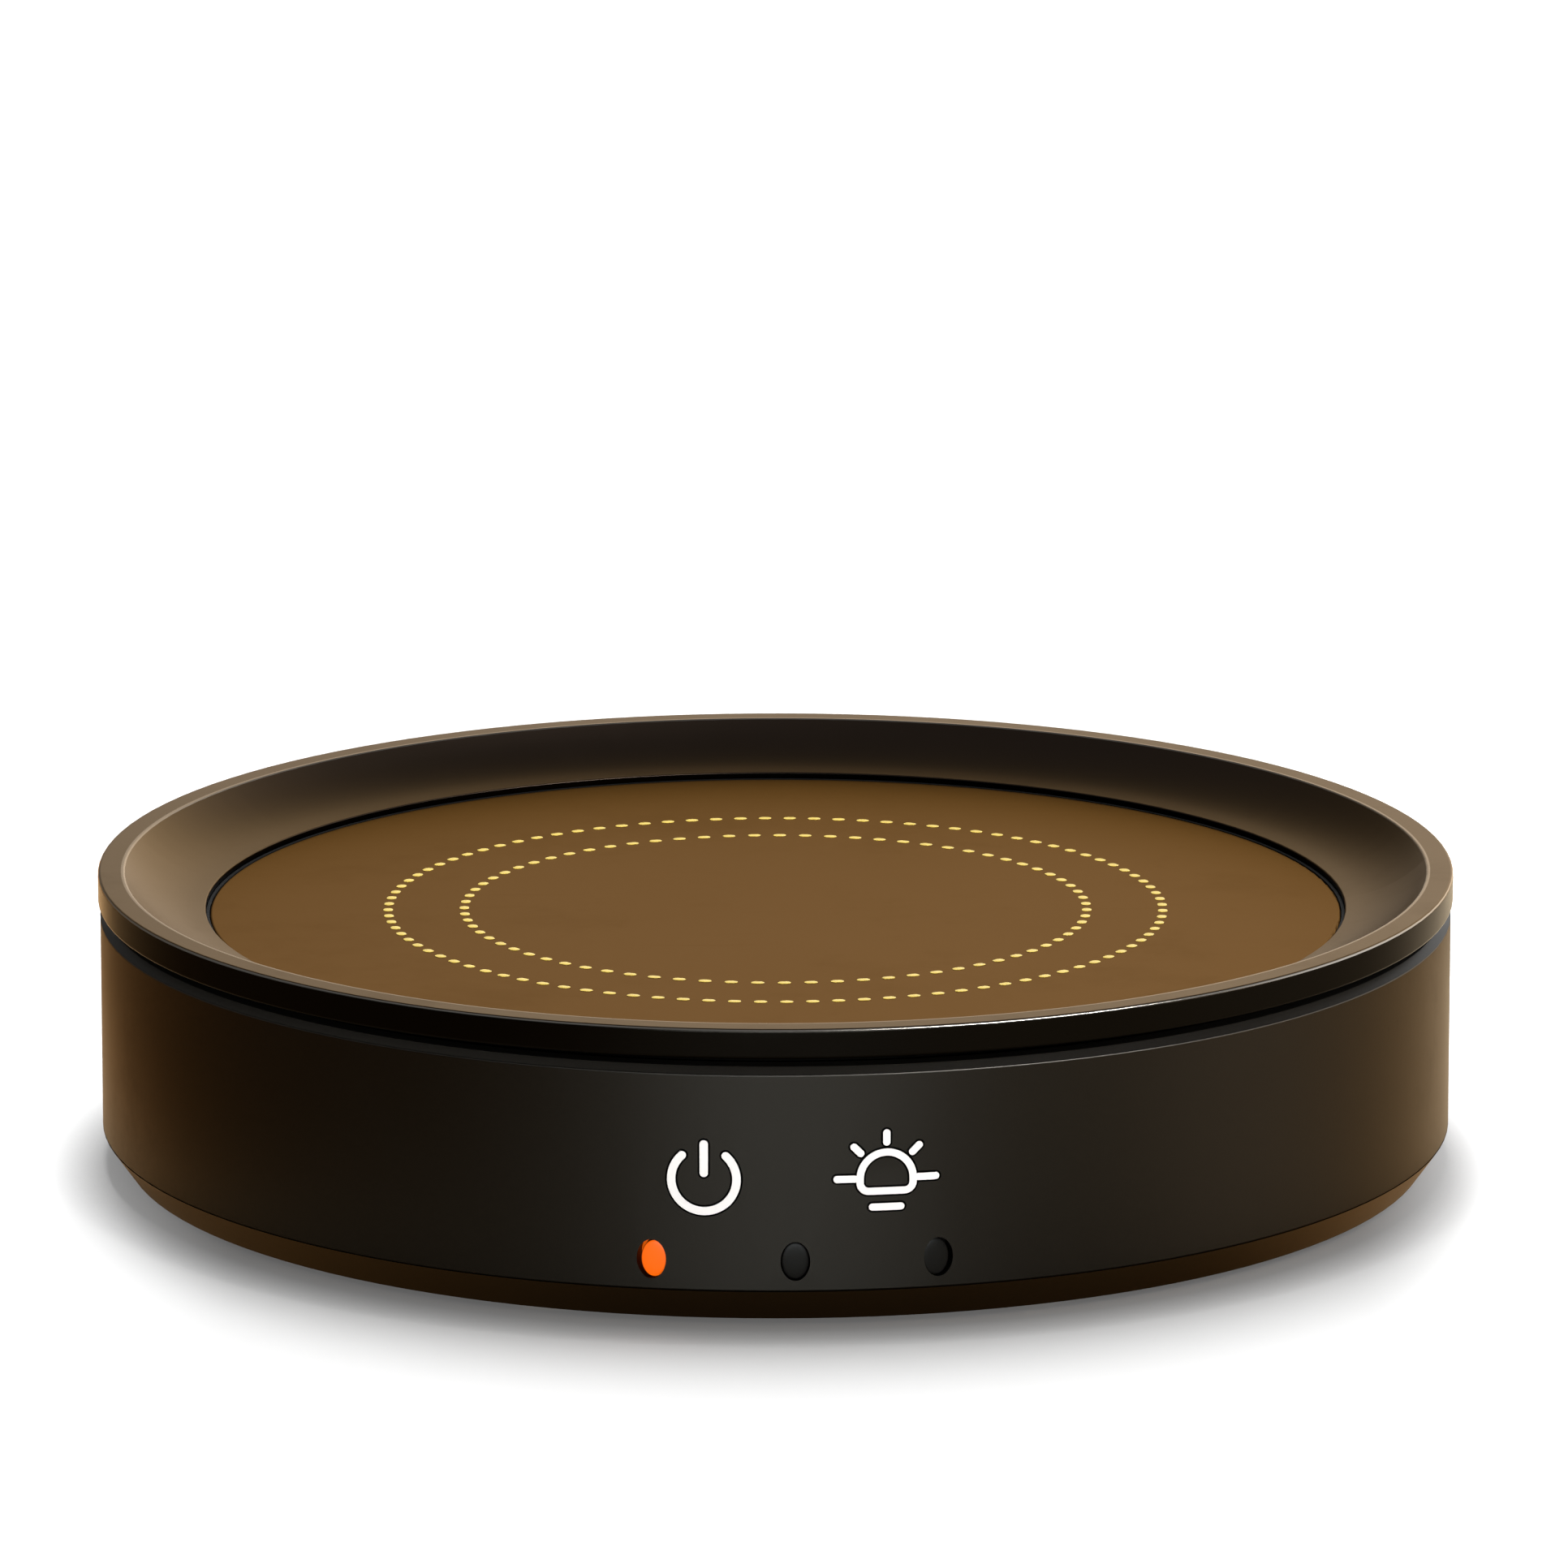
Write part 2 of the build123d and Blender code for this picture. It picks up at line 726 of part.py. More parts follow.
with BuildPart() as control_chip:
    with BuildSketch(Plane.XY.offset(board_top)):
        with Locations(chip_at):
            Rectangle(chip_length, chip_width)
    extrude(amount=chip_height)
save(control_chip.part, "control_chip")

with BuildPart() as heater_transistor:
    with BuildSketch(Plane.XY.offset(board_top)):
        with Locations(transistor_at):
            Rectangle(transistor_length, transistor_width)
    extrude(amount=transistor_height)
    with BuildSketch(Plane.XY.offset(board_top)):
        with Locations((transistor_at[0] - (transistor_length + transistor_tab) / 2, transistor_at[1])):
            Rectangle(transistor_tab, transistor_width)
    extrude(amount=transistor_tab_height)
save(heater_transistor.part, "heater_transistor")

with BuildPart() as capacitor:
    with BuildSketch(Plane.XY.offset(board_top)):
        with Locations(capacitor_at):
            Circle(capacitor_radius)
    extrude(amount=capacitor_height)
save(capacitor.part, "capacitor")

# ================= Weight switch =================

with BuildPart() as switch_body:
    with BuildSketch(Plane.XY.offset(board_top)):
        Rectangle(switch_length, switch_width)
    extrude(amount=switch_height)
    with BuildSketch(Plane.XY.offset(switch_top)):
        Circle(plunger_radius + running_gap)
    extrude(amount=-plunger_well, mode=Mode.SUBTRACT)
save(switch_body.part, "switch_body")

with BuildPart() as switch_plunger:
    with BuildSketch(Plane.XY.offset(plunger_top)):
        Circle(plunger_radius)
    extrude(amount=-plunger_length)
    fillet(switch_plunger.edges().group_by(Axis.Z)[-1], plunger_dome)
save(switch_plunger.part, "switch_plunger")

# ================= Power socket =================

with BuildPart() as power_socket:
    with BuildSketch(Plane.XY.offset(socket_bottom)):
        with Locations((0, socket_front - socket_depth / 2)):
            Rectangle(socket_width, socket_depth)
    extrude(amount=socket_tall)
    with BuildSketch(wall_plane(180, socket_height, socket_front)):
        Circle(socket_nose_radius)
    extrude(amount=socket_face - socket_front)
    with BuildSketch(wall_plane(180, socket_height, socket_face)):
        Circle(socket_bore_radius)
    extrude(amount=-socket_bore_depth, mode=Mode.SUBTRACT)
    with BuildSketch(wall_plane(180, socket_height, socket_face - socket_bore_depth)):
        Circle(socket_pin_tail_radius + snug)
    extrude(amount=-socket_pin_tail, mode=Mode.SUBTRACT)
    with BuildSketch(wall_plane(180, socket_height, socket_rear)):
        with GridLocations(2 * socket_tab_spread, 1, 2, 1):
            Rectangle(socket_tab_thickness + 2 * snug, socket_tab_width + 2 * snug)
    extrude(amount=socket_tab_root, mode=Mode.SUBTRACT)
save(power_socket.part, "power_socket")

with BuildPart() as socket_pin:
    with BuildSketch(wall_plane(180, socket_height, socket_face - socket_bore_depth)):
        Circle(socket_pin_radius)
    extrude(amount=socket_pin_length)
    chamfer(socket_pin.edges().group_by(Axis.Y)[-1], socket_pin_tip)
    with BuildSketch(wall_plane(180, socket_height, socket_face - socket_bore_depth)):
        Circle(socket_pin_tail_radius)
    extrude(amount=-socket_pin_tail)
save(socket_pin.part, "socket_pin")

with BuildPart() as socket_tabs:
    with BuildSketch(wall_plane(180, socket_height, socket_rear + socket_tab_root)):
        with GridLocations(2 * socket_tab_spread, 1, 2, 1):
            Rectangle(socket_tab_thickness, socket_tab_width)
    extrude(amount=-socket_tab_root - socket_tab_length)
save(socket_tabs.part, "socket_tabs")

# ================= Platform: tray and plate =================

# Bosses for the guide screws, which end halfway into the tray's wall.
with BuildPart() as guide_bosses:
    extrude(discs(guide_places, guide_boss_radius, guide_boss_bottom), amount=rim_height - guide_boss_bottom)
    with BuildSketch(Plane.XZ):
        with BuildLine():
            ThreePointArc(
                dish_point(pocket_radius, tray_wall / 2),
                dish_point((pocket_radius + skirt_outside) / 2, tray_wall / 2),
                dish_point(skirt_outside, tray_wall / 2),
            )
            Polyline(
                dish_point(skirt_outside, tray_wall / 2),
                (skirt_outside, rim_height),
                (pocket_radius, rim_height),
                dish_point(pocket_radius, tray_wall / 2),
            )
        make_face()
    revolve(axis=Axis.Z, mode=Mode.SUBTRACT)

with BuildPart() as tray:
    with BuildSketch(Plane.XZ) as tray_section:
        with BuildLine():
            Polyline(
                dish_point(skirt_inside, tray_wall),
                (skirt_inside, skirt_bottom),
                (skirt_outside, skirt_bottom),
                (skirt_outside, band_bottom),
                (rim_radius, band_bottom),
                (rim_radius, rim_height),
                (lip_radius, rim_height),
            )
            ThreePointArc(
                (lip_radius, rim_height),
                dish_point((lip_radius + pocket_radius) / 2),
                (pocket_radius, dish_edge),
            )
            Polyline(
                (pocket_radius, dish_edge),
                (pocket_radius, seal_bottom),
                (ledge_radius, seal_bottom),
                (ledge_radius, retainer_top),
                (tray_inner_wall, retainer_top),
                dish_point(tray_inner_wall, tray_wall),
            )
            ThreePointArc(
                dish_point(tray_inner_wall, tray_wall),
                dish_point((tray_inner_wall + skirt_inside) / 2, tray_wall),
                dish_point(skirt_inside, tray_wall),
            )
        make_face()
        fillet(tray_section.vertices().sort_by_distance((lip_radius, rim_height))[0], lip_round)
        fillet(tray_section.vertices().sort_by_distance((pocket_radius, dish_edge))[0], pocket_round)
    revolve(axis=Axis.Z)
    fillet(tray.edges().filter_by(GeomType.CIRCLE).group_by(SortBy.RADIUS)[-1], rim_round)
    add(guide_bosses.part)
    guide_holes = discs(guide_places, guide_thread_radius + thread_gap, guide_boss_bottom)
    extrude(guide_holes, amount=guide_thread_length + pilot_spare, mode=Mode.SUBTRACT)
    retainer_holes = discs(retainer_screw_places, retainer_screw_radius + thread_gap, retainer_top)
    retainer_hole_depth = retainer_screw_length - retainer_thickness + retainer_head_height / 4
    extrude(retainer_holes, amount=retainer_hole_depth, mode=Mode.SUBTRACT)
save(tray.part, "tray")

with BuildPart() as heating_plate:
    with BuildSketch(Plane.XY.offset(plate_bottom)):
        Circle(plate_radius)
    extrude(amount=plate_thickness)
    fillet(heating_plate.edges().group_by(Axis.Z)[-1], plate_edge)
save(heating_plate.part, "heating_plate")

with BuildPart() as plate_seal:
    revolve(
        section(
            [
                (plate_radius + snug, plate_top),
                (pocket_radius - snug, plate_top),
                (pocket_radius - snug, seal_bottom),
                (ledge_radius + snug, seal_bottom),
                (ledge_radius + snug, plate_bottom),
                (plate_radius + snug, plate_bottom),
            ]
        ),
        axis=Axis.Z,
    )
save(plate_seal.part, "plate_seal")

# ================= Platform: heater, sensors and retainer =================

with BuildPart() as heat_spreader:
    with BuildSketch(Plane.XY.offset(heater_top)):
        Circle(spreader_radius)
    extrude(amount=spreader_thickness)
save(heat_spreader.part, "heat_spreader")

with BuildPart() as heater:
    with BuildSketch(Plane.XY.offset(heater_bottom)):
        Circle(heater_radius)
    extrude(amount=heater_thickness)
save(heater.part, "heater")


def layer_with_holes(height, radius):
    """A disc with the holes through which the sensors and the heater's terminals pass."""
    with BuildSketch(Plane.XY.offset(height)) as layer:
        Circle(radius)
        with Locations(thermistor_header_at):
            Circle(thermistor_radius + sensor_hole_gap, mode=Mode.SUBTRACT)
        with Locations(cutout_header_at):
            Circle(cutout_radius + sensor_hole_gap, mode=Mode.SUBTRACT)
        with Locations(heater_header_at):
            with GridLocations(1, 2 * terminal_spread, 1, 2):
                Rectangle(
                    terminal_width + 2 * terminal_gap,
                    terminal_thickness + 2 * terminal_gap,
                    mode=Mode.SUBTRACT,
                )
    return layer.sketch


with BuildPart() as insulation:
    extrude(layer_with_holes(retainer_top, ledge_radius - insulation_gap), amount=insulation_thickness)
save(insulation.part, "insulation")

with BuildPart() as retainer:
    extrude(layer_with_holes(retainer_bottom, retainer_radius), amount=retainer_thickness)
    scallops = discs(guide_places, guide_boss_radius + guide_boss_gap, retainer_bottom)
    extrude(scallops, amount=retainer_thickness, mode=Mode.SUBTRACT)
    clearance_holes = discs(retainer_screw_places, retainer_screw_radius + shank_gap, retainer_bottom)
    extrude(clearance_holes, amount=retainer_thickness, mode=Mode.SUBTRACT)
    # Foot that presses the weight switch.
    with BuildSketch(Plane.XY.offset(plunger_top + actuator_gap)):
        Circle(actuator_radius)
    extrude(amount=retainer_bottom - plunger_top - actuator_gap)
save(retainer.part, "retainer")

with BuildPart() as retainer_screws:
    extrude(discs(retainer_screw_places, retainer_head_radius, retainer_bottom), amount=-retainer_head_height)
    extrude(discs(retainer_screw_places, retainer_screw_radius, retainer_bottom), amount=retainer_screw_length)
save(retainer_screws.part, "retainer_screws")

with BuildPart() as thermistor:
    with BuildSketch(Plane.XY.offset(heater_bottom)):
        with Locations(thermistor_header_at):
            Circle(thermistor_radius)
    extrude(amount=-thermistor_length)
save(thermistor.part, "thermistor")

with BuildPart() as thermal_cutout:
    with BuildSketch(Plane.XY.offset(heater_bottom)):
        with Locations(cutout_header_at):
            Circle(cutout_radius)
    extrude(amount=-cutout_length)
save(thermal_cutout.part, "thermal_cutout")

with BuildPart() as heater_terminals:
    with BuildSketch(Plane.XY.offset(heater_bottom)):
        with Locations(heater_header_at):
            with GridLocations(1, 2 * terminal_spread, 1, 2):
                Rectangle(terminal_width, terminal_thickness)
    extrude(amount=-terminal_length)
save(heater_terminals.part, "heater_terminals")

# ================= Platform: guides and springs =================

with BuildPart() as guide_screws:
    extrude(discs(guide_places, guide_thread_radius, guide_boss_bottom), amount=guide_thread_length)
    extrude(discs(guide_places, shoulder_radius, guide_head_top), amount=guide_boss_bottom - guide_head_top)
    extrude(discs(guide_places, guide_head_radius, guide_head_top), amount=-guide_head_height)
    with BuildSketch(Plane.XY.offset(guide_head_top - guide_head_height)):
        with Locations(*at(guide_places)):
            RegularPolygon(hex_socket_radius, 6)
    extrude(amount=hex_socket_depth, mode=Mode.SUBTRACT)
save(guide_screws.part, "guide_screws")

with BuildPart() as guide_bushes:
    extrude(discs(guide_places, bush_outside, cup_bottom), amount=cup_floor)
    extrude(discs(guide_places, cup_inside - bush_flange_gap, cup_floor_top), amount=bush_flange_height)
    extrude(discs(guide_places, bush_inside, cup_bottom), amount=spring_seat, mode=Mode.SUBTRACT)
save(guide_bushes.part, "guide_bushes")

with BuildPart() as platform_springs:
    coil_height = spring_length - 2 * spring_wire
    for azimuth in guide_azimuths:
        x, y = around(azimuth, guide_circle)
        with BuildLine() as coil:
            coil_foot = (x, y, spring_seat + spring_wire)
            Helix(coil_height / spring_turns, coil_height, spring_radius, center=coil_foot)
        with BuildSketch(Plane(origin=coil.line @ 0, z_dir=coil.line % 0)):
            Circle(spring_wire)
        sweep(path=coil.line, is_frenet=True)
save(platform_springs.part, "platform_springs")

# ================= Wires =================

with BuildPart() as heater_leads:
    x, y = heater_header_at
    for side in (-1, 1):
        near, far = y + side * lead_pitch / 2, y + side * terminal_spread
        terminal_end = heater_bottom - terminal_length
        run_wire(
            [
                (x, near, header_top),
                (x, near, header_top + lead_rise),
                (x, far, terminal_end - lead_rise),
                (x, far, terminal_end),
            ],
            lead_radius,
        )
save(heater_leads.part, "heater_leads")

with BuildPart() as sensor_leads:
    for (x, y), length in ((thermistor_header_at, thermistor_length), (cutout_header_at, cutout_length)):
        for side in (-1, 1):
            across = x + side * thin_lead_pitch / 2
            sensor_end = heater_bottom - length
            run_wire(
                [
                    (across, y - lead_jog / 2, header_top),
                    (across, y - lead_jog / 2, header_top + lead_rise),
                    (across, y + lead_jog / 2, sensor_end - lead_rise),
                    (across, y + lead_jog / 2, sensor_end),
                ],
                thin_lead_radius,
            )
save(sensor_leads.part, "sensor_leads")

with BuildPart() as front_leads:
    header_x, header_y = front_header_at
    start = header_y - header_depth / 2
    end = front_board_thickness - front_board_face
    level = board_top + header_height / 2
    slope = lead_stub + lead_droop
    for index in range(front_lead_count):
        x = header_x + (index - (front_lead_count - 1) / 2) * thin_lead_pitch
        run_wire(
            [
                (x, start, level),
                (x, start - lead_stub, level),
                (x, start - slope, level - lead_droop),
                (x, end + slope, level - lead_droop),
                (x, end + lead_stub, level),
                (x, end, level),
            ],
            thin_lead_radius,
        )
save(front_leads.part, "front_leads")

with BuildPart() as ring_leads:
    header_x, header_y = ring_header_at
    tail_x, tail_y = around(ring_tail_azimuth, ring_board_middle - ring_tail_reach + ring_lead_inset)
    for side in (-thin_lead_pitch / 2, thin_lead_pitch / 2):
        run_wire(
            [
                (header_x + side, header_y, header_top),
                (header_x + side, header_y, header_top + lead_rise),
                (tail_x + side, tail_y, header_top + lead_rise),
                (tail_x + side, tail_y, ring_ledge),
            ],
            thin_lead_radius,
        )
save(ring_leads.part, "ring_leads")

with BuildPart() as power_leads:
    header_x, header_y = power_header_at
    tab_end = socket_rear - socket_tab_length
    header_end = header_y + header_depth / 2
    for side in (-1, 1):
        run_wire(
            [
                (side * socket_tab_spread, tab_end, socket_height),
                (side * socket_tab_spread, tab_end - lead_stub, socket_height),
                (header_x + side * lead_pitch / 2, header_end + lead_stub, board_top + header_height / 2),
                (header_x + side * lead_pitch / 2, header_end, board_top + header_height / 2),
            ],
            lead_radius,
        )
save(power_leads.part, "power_leads")
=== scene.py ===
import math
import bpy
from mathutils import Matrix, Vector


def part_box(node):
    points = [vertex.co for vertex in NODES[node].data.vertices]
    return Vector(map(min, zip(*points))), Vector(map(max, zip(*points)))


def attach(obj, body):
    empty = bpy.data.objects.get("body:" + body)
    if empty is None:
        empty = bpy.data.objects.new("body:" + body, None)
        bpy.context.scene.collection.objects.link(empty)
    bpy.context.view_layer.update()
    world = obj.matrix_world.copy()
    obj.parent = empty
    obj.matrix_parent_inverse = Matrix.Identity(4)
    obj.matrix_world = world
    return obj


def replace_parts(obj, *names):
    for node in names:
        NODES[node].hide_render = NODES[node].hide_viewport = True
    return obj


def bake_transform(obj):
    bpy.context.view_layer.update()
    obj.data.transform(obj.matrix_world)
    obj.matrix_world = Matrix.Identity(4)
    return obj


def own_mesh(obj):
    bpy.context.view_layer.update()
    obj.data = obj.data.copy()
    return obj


bl_info = {
    "name": "Mug Warmer Dressing",
    "version": (1, 0, 0),
    "blender": (4, 5, 0),
    "location": "View3D > Sidebar > Mug Warmer",
    "description": "Gives the mug warmer's frame its finishes, printed rings, lenses, springs and stage",
    "category": "Object",
}

import bmesh
import bpy
from mathutils import Matrix, Vector

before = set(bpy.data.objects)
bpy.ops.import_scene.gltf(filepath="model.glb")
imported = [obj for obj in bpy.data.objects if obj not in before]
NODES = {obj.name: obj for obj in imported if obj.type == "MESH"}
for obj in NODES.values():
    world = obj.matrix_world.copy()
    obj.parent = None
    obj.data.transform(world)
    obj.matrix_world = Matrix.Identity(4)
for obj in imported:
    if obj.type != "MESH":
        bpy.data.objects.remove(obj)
bpy.context.view_layer.update()

# The add-on dresses a round electric mug warmer. Its rigid pieces come with the frame and get their finishes
# here. The printed rings, lenses, springs and feet are built here, and the moving wires are copied.
# Lengths are in metres, and azimuths start at the front, -Y, and grow towards +X.

MM = 0.001


def top_of(node):
    """The height of a node's highest point."""
    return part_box(node)[1].z


def bottom_of(node):
    """The height of a node's lowest point."""
    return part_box(node)[0].z


def reach_of(node):
    """How far a round node reaches from the middle axis, along X."""
    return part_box(node)[1].x


# ================= Settings =================


def length(name, description, default):
    """A length that the user can change."""
    return bpy.props.FloatProperty(
        name=name, description=description, default=default, min=0.0, precision=5, unit="LENGTH"
    )


def colour(name, description, default):
    """A colour that the user can change, as linear red, green and blue."""
    return bpy.props.FloatVectorProperty(
        name=name, description=description, default=default, min=0.0, max=1.0, size=3, subtype="COLOR"
    )


def count(name, description, default):
    """A number of pieces that the user can change."""
    return bpy.props.IntProperty(name=name, description=description, default=default, min=1)


def share(name, description, default, most=1.0):
    """A plain number from 0 to most that the user can change."""
    return bpy.props.FloatProperty(name=name, description=description, default=default, min=0.0, max=most)


def angle(name, description, degrees):
    """An angle that the user can change."""
    return bpy.props.FloatProperty(
        name=name, description=description, default=math.radians(degrees), subtype="ANGLE"
    )


GRAZING = "Tint of its reflections near the outline"


class WarmerColours(bpy.types.PropertyGroup):
    """Colours of the pieces that show from outside."""

    drum: colour("Drum", "Satin finish of the housing", (0.0102, 0.0095, 0.0085))
    drum_edge: colour("Drum at grazing light", GRAZING, (0.70, 0.63, 0.56))
    cover: colour("Base cover", "Satin finish of the base cover, a little browner", (0.028, 0.0185, 0.0100))
    cover_edge: colour("Cover at grazing light", GRAZING, (0.95, 0.75, 0.58))
    dish: colour("Dish", "Finish of the dish and the lip", (0.028, 0.020, 0.015))
    dish_edge: colour("Dish at grazing light", GRAZING, (0.87, 0.72, 0.57))
    # painted_edge_highlight is a painted highlight: a pale colour laid on rounded edges to stand for the
    # lamps' highlight lines there.
    painted_edge_highlight: colour("Rounded edges", "Polished round of the rim's edge", (0.22, 0.205, 0.185))
    # The band colour is the tray's finish painted in shade, and the dish colour above is the same finish
    # painted in light.
    band: colour("Rim band", "Outer side of the rim", (0.0032, 0.0029, 0.0025))
    band_edge: colour("Band at grazing light", GRAZING, (0.56, 0.555, 0.55))
    plate: colour("Plate", "Non-stick coating of the heating plate", (0.120, 0.062, 0.020))
    plate_edge: colour("Plate at grazing light", GRAZING, (0.80, 0.61, 0.46))
    gold: colour("Rings", "Printed dashes on the plate", (0.80, 0.58, 0.085))
    sign: colour("Signs", "Inlays of the two touch signs", (0.84, 0.815, 0.79))
    lit_window: colour("Lit window", "Light of the window that shows the chosen heat", (0.50, 0.072, 0.0))
    smoked: colour("Light ring", "Smoked plastic of the light ring", (0.017, 0.0155, 0.013))
    rubber: colour("Rubber", "Feet", (0.018, 0.018, 0.018))
    floor: colour("Floor", "Plain floor of the stage", (0.94, 0.94, 0.94))


class WarmerSizes(bpy.types.PropertyGroup):
    """Sizes of the pieces that are built here."""

    outer_ring: length("Outer ring", "Mean radius of the outer printed ring", 37.2 * MM)
    inner_ring: length("Inner ring", "Mean radius of the inner printed ring", 29.9 * MM)
    outer_dashes: count("Outer dashes", "Dashes in the outer ring", 96)
    inner_dashes: count("Inner dashes", "Dashes in the inner ring", 75)
    dash_length: length("Dash length", "Length of a dash along its ring", 1.25 * MM)
    dash_width: length("Dash width", "Width of a dash", 0.92 * MM)
    dash_height: length("Dash height", "How far a dash stands up from the plate", 0.04 * MM)
    lens_crown: length("Lens crown", "How far a window's middle bulges past its edge", 0.10 * MM)
    spring_wire: length("Spring wire", "Radius of the spring wire", 0.30 * MM)
    spring_turns: share("Spring turns", "Turns of each spring, its closed ends included", 6.5, 20.0)
    foot_grooves: count("Foot grooves", "Round grooves in the sole of each foot", 3)


class WarmerStage(bpy.types.PropertyGroup):
    """The camera and the lights."""

    camera_elevation: angle("Camera height", "Angle of the camera above the floor", 14.8)
    camera_azimuth: angle("Camera turn", "Angle of the camera round the warmer", -1.6)
    camera_distance: length("Camera distance", "From the camera to the middle of the base", 1.2)
    camera_lens: share("Focal length", "Focal length in millimetres on a 36 mm sensor", 285.3, 1000.0)
    left_light: share("Left", "Brightness of the surround at the rear left", 0.25, 10.0)
    right_light: share("Right", "Brightness of the surround at the rear right", 2.3, 10.0)
    overhead_light: share("Overhead", "Brightness of the surround overhead", 0.35, 10.0)
    key_light: share("Key", "Brightness of the soft box overhead", 12.0, 100.0)
    rim_light: share("Rim strip", "Brightness of the lamp that draws the rim's edge", 75.0, 500.0)
    front_light: share("Front", "Brightness of the low strip in front", 74.0, 500.0)
    fill_light: share("Fill", "Brightness of the soft light on the front's matt pieces", 46.0, 500.0)
    side_light: share("Side", "Brightness of the low strip on the right", 32.0, 500.0)
    # The floor glows below are painted light: pools of light on the floor itself.
    floor_glow: share("Floor glow", "Light of the floor itself where it is seen", 0.08)
    right_glow: share("Right glow", "The same, on the right of the warmer", 0.90, 5.0)
    left_glow: share("Left glow", "The same in reflections, at the rear left", 0.60, 5.0)
    # These two tints are painted reflection: only reflections of the floor show them.
    left_mirrored: colour("Left reflections", "Tint of the mirrored floor on the left", (1.0, 0.60, 0.27))
    right_mirrored: colour("Right reflections", "Tint of the mirrored floor elsewhere", (1.0, 0.81, 0.56))


# ================= Node helpers =================


def add(tree, kind, inputs=None, **settings):
    """A new node in a tree. Each input is a value, or an output socket to link from."""
    node = tree.nodes.new(kind)
    for name, value in settings.items():
        setattr(node, name, value)
    for name, value in (inputs or {}).items():
        if isinstance(value, bpy.types.NodeSocket):
            tree.links.new(value, node.inputs[name])
        else:
            node.inputs[name].default_value = value
    return node


def feed(tree, node, values):
    """Links output sockets to a node's inputs, by name."""
    for name, value in values.items():
        tree.links.new(value, node.inputs[name])


def calculate(tree, operation, first, second, clamp=False):
    """The result of a Math node."""
    node = add(tree, "ShaderNodeMath", {0: first, 1: second}, operation=operation, use_clamp=clamp)
    return node.outputs[0]


def plus(tree, first, second, clamp=False):
    """Two values added."""
    return calculate(tree, "ADD", first, second, clamp)


def minus(tree, first, second):
    """The second value taken from the first."""
    return calculate(tree, "SUBTRACT", first, second)


def times(tree, first, second, clamp=False):
    """Two values multiplied."""
    return calculate(tree, "MULTIPLY", first, second, clamp)


def larger(tree, first, second):
    """The larger of two values."""
    return calculate(tree, "MAXIMUM", first, second)


def scale_for(tree, size):
    """The scale of a pattern whose marks have this size."""
    return calculate(tree, "DIVIDE", 1.0, size)


def scaled(tree, vector, factor):
    """A place or a colour times a value."""
    node = add(tree, "ShaderNodeVectorMath", {0: vector, "Scale": factor}, operation="SCALE")
    return node.outputs["Vector"]


def span(tree, vector):
    """The length of a vector."""
    return add(tree, "ShaderNodeVectorMath", {0: vector}, operation="LENGTH").outputs["Value"]


def blend_colours(tree, factor, first, second, how="MIX"):
    """The result of mixing two colours."""
    first_input, second_input, result = 6, 7, 2
    inputs = {0: factor, first_input: first, second_input: second}
    node = add(tree, "ShaderNodeMix", inputs, data_type="RGBA", blend_type=how)
    return node.outputs[result]


def remap(tree, value, low, high, new_low, new_high, kind="LINEAR"):
    """A value moved from one range to another, and held inside the new one."""
    inputs = {"Value": value, "From Min": low, "From Max": high, "To Min": new_low, "To Max": new_high}
    return add(tree, "ShaderNodeMapRange", inputs, interpolation_type=kind).outputs["Result"]


def fade(tree, value, low, high, new_low=0.0, new_high=1.0):
    """The same, with a soft start and end."""
    return remap(tree, value, low, high, new_low, new_high, "SMOOTHSTEP")


def noise(tree, where, scale, detail=3.0, roughness=0.5):
    """A noise value from 0 to 1 at a place."""
    inputs = {"Vector": where, "Scale": scale, "Detail": detail, "Roughness": roughness}
    return add(tree, "ShaderNodeTexNoise", inputs).outputs["Fac"]


def stretched(tree, where, stretch):
    """A place with its X, Y and Z multiplied, to stretch a pattern."""
    return add(tree, "ShaderNodeMapping", {"Vector": where, "Scale": stretch}).outputs["Vector"]


def place_on(tree, which="Object"):
    """The place on the piece in metres, or another of the texture coordinates."""
    return add(tree, "ShaderNodeTexCoord").outputs[which]


def part_of(tree, vector, axis):
    """One axis of a vector."""
    return add(tree, "ShaderNodeSeparateXYZ", {0: vector}).outputs[axis]


def new_group(name, inputs, *outputs):
    """A shader node group from its inputs' defaults and its outputs' names, with its two ends."""
    group = bpy.data.node_groups.new(name, "ShaderNodeTree")
    sockets, kinds = group.interface, {1: "NodeSocketFloat", 3: "NodeSocketVector", 4: "NodeSocketColor"}
    for title, default in inputs.items():
        kind = kinds[len(default) if isinstance(default, tuple) else 1]
        sockets.new_socket(title, in_out="INPUT", socket_type=kind).default_value = default
    for title in outputs:
        sockets.new_socket(title, in_out="OUTPUT", socket_type=kinds[4 if title == "Colour" else 1])
    return group, group.nodes.new("NodeGroupInput").outputs, group.nodes.new("NodeGroupOutput")


def opaque(rgb):
    """A colour with its alpha."""
    return (*rgb, 1.0)


# ================= Shared effects =================


